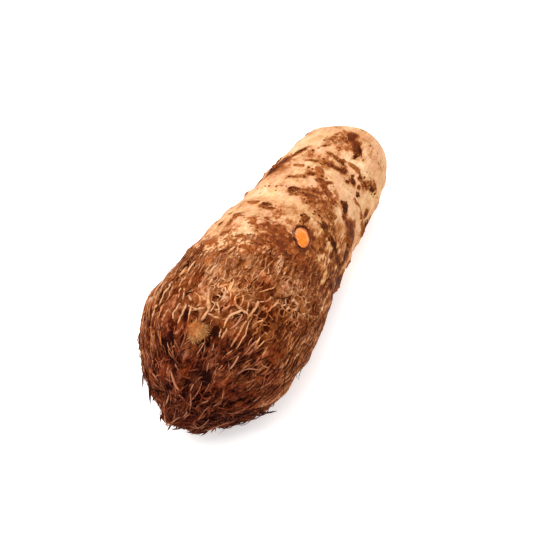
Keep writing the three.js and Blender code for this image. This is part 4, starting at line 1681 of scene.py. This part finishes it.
def discOnSkin(spot, rings, spokes, stretch, ragged, seed):
    # Points of a flat disc laid over a spot on the skin, with an uneven outline.
    share = np.linspace(0, 1, rings)[:, None]
    angle = np.arange(spokes)[None, :] * 2 * math.pi / spokes
    rim = np.stack([np.cos(angle) * 2, np.sin(angle) * 2, 0 * angle], -1)
    reach = spot[2] * share * (1 + ragged * softNoise(rim, 1.1, seed))
    arcs, around = onEllipse(spot, reach, angle, stretch)
    return arcs, around, share + 0 * angle


def makeFreshScar():
    v = scarValues
    rings, spokes = v["rings"], v["spokes"]
    arcs, around, share = discOnSkin(orangeScar, rings, spokes, scarStretch, v["ragged"], v["seed"])
    spots = np.stack([arcs, around * fullRadius, 0 * arcs], -1)
    lifts = v["height"] - v["fall"] * share ** 4 + 0.16 * softNoise(spots, 1.5, v["seed"] + 1) * (1 - share)
    points = layOnCoat(arcs, around, lifts)[0]
    under = layOnCoat(arcs, around, 0 * lifts - v["depth"])[0]
    index, after = gridIndex(rings, spokes)
    top = np.stack([index[:-1], index[1:], after[1:], after[:-1]], -1).reshape(-1, 4)[spokes:]
    size = rings * spokes
    bottom = top[:, ::-1] + size
    wall = np.stack([index[-1], index[-1] + size, after[-1] + size, after[-1]], -1)
    middle, lowest = 2 * size, 2 * size + 1
    fans = [(middle, int(a), int(b)) for a, b in zip(index[1], after[1])]
    fans += [(lowest, int(b), int(a)) for a, b in zip(index[1] + size, after[1] + size)]
    allPoints = np.concatenate([points.reshape(-1, 3), under.reshape(-1, 3), [points[0, 0]], [under[0, 0]]])
    # the wide end of the scar is paler
    angle = np.linspace(0, 2 * math.pi, spokes, endpoint=False)
    away = np.minimum(share * (1 - 0.25 * np.cos(angle)), 1).ravel()
    away = np.concatenate([away, away, [0, 0]])
    faces = top.tolist() + bottom.tolist() + wall.tolist() + fans
    return makePiece("freshScar", allPoints, faces, makeFleshMaterial(), away=away)


rimValues = {
    "strips": 52,
    "width": (0.25, 0.55),
    "lift": (0.25, 0.95),
    "sweep": (0.18, 0.5),  # radians that half a strip runs round the scar
    "taper": (0.3, 0.3),
    "flatness": 0.8,
    "sides": 5,
    "pointsEach": 9,
    "fibre": "rustFibre",
    "seed": 73,
}


def makeScarRim():
    # Torn cork that curls up round the scar, in short overlapping strips.
    v = rimValues
    pick = np.random.default_rng(v["seed"])
    count = v["strips"]
    angle = pick.normal(0.5, 1.5, count)
    sweep = (2 * sharesAlong(v) - 1) * pick.uniform(*v["sweep"], count)[:, None]
    low = 1 + 0.6 * np.cos(angle - 0.7)  # thicker on the lower side
    reach = orangeScar[2] * (1.0 + 0.15 * pick.uniform(0, 1, count) * low)[:, None] + 0.2 * np.sin(5 * sweep)
    arcs, around = onEllipse(orangeScar, reach, angle[:, None] + sweep, scarStretch)
    widths = pickWidths(v, count, pick) * (0.8 + 0.2 * low)[:, None]
    lifts = pick.uniform(*v["lift"], count)[:, None] + 0 * sweep
    return strandPiece("scarRim", v, arcs, around, lifts, widths, pick.normal(0.28, 0.22, count))


budValues = {
    "fibres": 1300,
    "length": (0.8, 3.0),
    "width": (0.15, 0.32),
    "lift": 0.5,
    "dome": 0.9,  # mm that the felt is thicker in the middle
    "bend": 0.8,
    "wave": 0,
    "taper": (0.8, 0.4),
    "flatness": 0.9,
    "sides": 3,
    "pointsEach": 6,
    "fibre": "feltFibre",
    "seed": 79,
}


def makeFeltBud():
    # A side bud under short pale felt that points outwards from its middle.
    v = budValues
    pick = np.random.default_rng(v["seed"])
    count = v["fibres"]
    place, turn, radius = feltBud
    girth = float(surfaceAt(arcAt(place), math.radians(turn), radii))
    angle = pick.uniform(0, 2 * math.pi, count)
    reach = radius * np.minimum(np.abs(pick.normal(0, 0.55, count)), 1.3)
    reach = reach * (0.9 + 0.2 * np.sin(3 * angle + 1))  # not quite round
    starts = (arcAt(place) + reach * np.cos(angle), math.radians(turn) + reach * np.sin(angle) / girth)
    headings = angle + pick.normal(0, 0.7, count)
    arcs, around = wander(starts, headings, pick.uniform(*v["length"], count), v, pick)
    dome = v["dome"] * np.maximum(0, 1 - (reach / radius) ** 2)
    lifts = v["lift"] + dome[:, None] + sharesAlong(v) * pick.uniform(-0.3, 0.5, count)[:, None]
    widths = pickWidths(v, count, pick)
    return strandPiece("feltBud", v, arcs, around, lifts, widths, pick.normal(0.65, 0.4, count))


makeFreshScar()
makeScarRim()
makeFeltBud()
print("scar and bud made")


# Floor, lights and camera.

stageValues = {
    "floorHalf": 3.0,  # m
    "floorHeight": -0.0002,  # just under the corm
    "floorColour": (0.93, 0.93, 0.93, 1),
    "floorGlow": 0.35,
    "keyPower": 23.0,
    "keySize": 1.5,
    "keyPlace": (0.2, -0.36, 1.2),
    "fillStrength": 1.0,
}


def makeStage():
    half = stageValues["floorHalf"]
    corners = [(-half, -half, 0), (half, -half, 0), (half, half, 0), (-half, half, 0)]
    mesh = bpy.data.meshes.new("studioFloor")
    mesh.from_pydata(corners, [], [(0, 1, 2, 3)])
    floor = bpy.data.objects.new("studioFloor", mesh)
    bpy.context.scene.collection.objects.link(floor)
    floor.location.z = stageValues["floorHeight"]
    material, tree, shader, place = newMaterial("paleFloor")
    shader.inputs["Base Color"].default_value = stageValues["floorColour"]
    shader.inputs["Roughness"].default_value = 0.9
    shader.inputs["Emission Color"].default_value = (1, 1, 1, 1)
    shader.inputs["Emission Strength"].default_value = stageValues["floorGlow"]
    mesh.materials.append(material)
    world = bpy.data.worlds.new("softRoom")
    world.use_nodes = True
    background = world.node_tree.nodes["Background"]
    background.inputs["Color"].default_value = (1, 1, 1, 1)
    background.inputs["Strength"].default_value = stageValues["fillStrength"]
    bpy.context.scene.world = world
    key = bpy.data.lights.new("softbox", "AREA")
    key.shape = "SQUARE"
    key.size = stageValues["keySize"]
    key.energy = stageValues["keyPower"]
    keyObject = bpy.data.objects.new("softbox", key)
    bpy.context.scene.collection.objects.link(keyObject)
    keyObject.location = stageValues["keyPlace"]
    keyObject.rotation_mode = "QUATERNION"
    keyObject.rotation_quaternion = Vector(keyObject.location).to_track_quat("Z", "Y")


cameraValues = {
    "azimuth": 114.7,
    "elevation": 50.0,
    "distance": 0.9,
    "lens": 124.3,
    "target": (0.0031, 0.0057, 0.0306),
}


def makeCamera():
    azimuth = math.radians(cameraValues["azimuth"])
    elevation = math.radians(cameraValues["elevation"])
    back = Vector((
        math.sin(azimuth) * math.cos(elevation),
        -math.cos(azimuth) * math.cos(elevation),
        math.sin(elevation),
    ))
    lens = bpy.data.cameras.new("camera")
    lens.lens = cameraValues["lens"]
    camera = bpy.data.objects.new("camera", lens)
    bpy.context.scene.collection.objects.link(camera)
    camera.location = Vector(cameraValues["target"]) + back * cameraValues["distance"]
    camera.rotation_mode = "QUATERNION"
    camera.rotation_quaternion = back.to_track_quat("Z", "Y")
    bpy.context.scene.camera = camera


makeStage()
makeCamera()
bpy.context.scene.view_settings.view_transform = "Standard"
print("stage, lights and camera set")
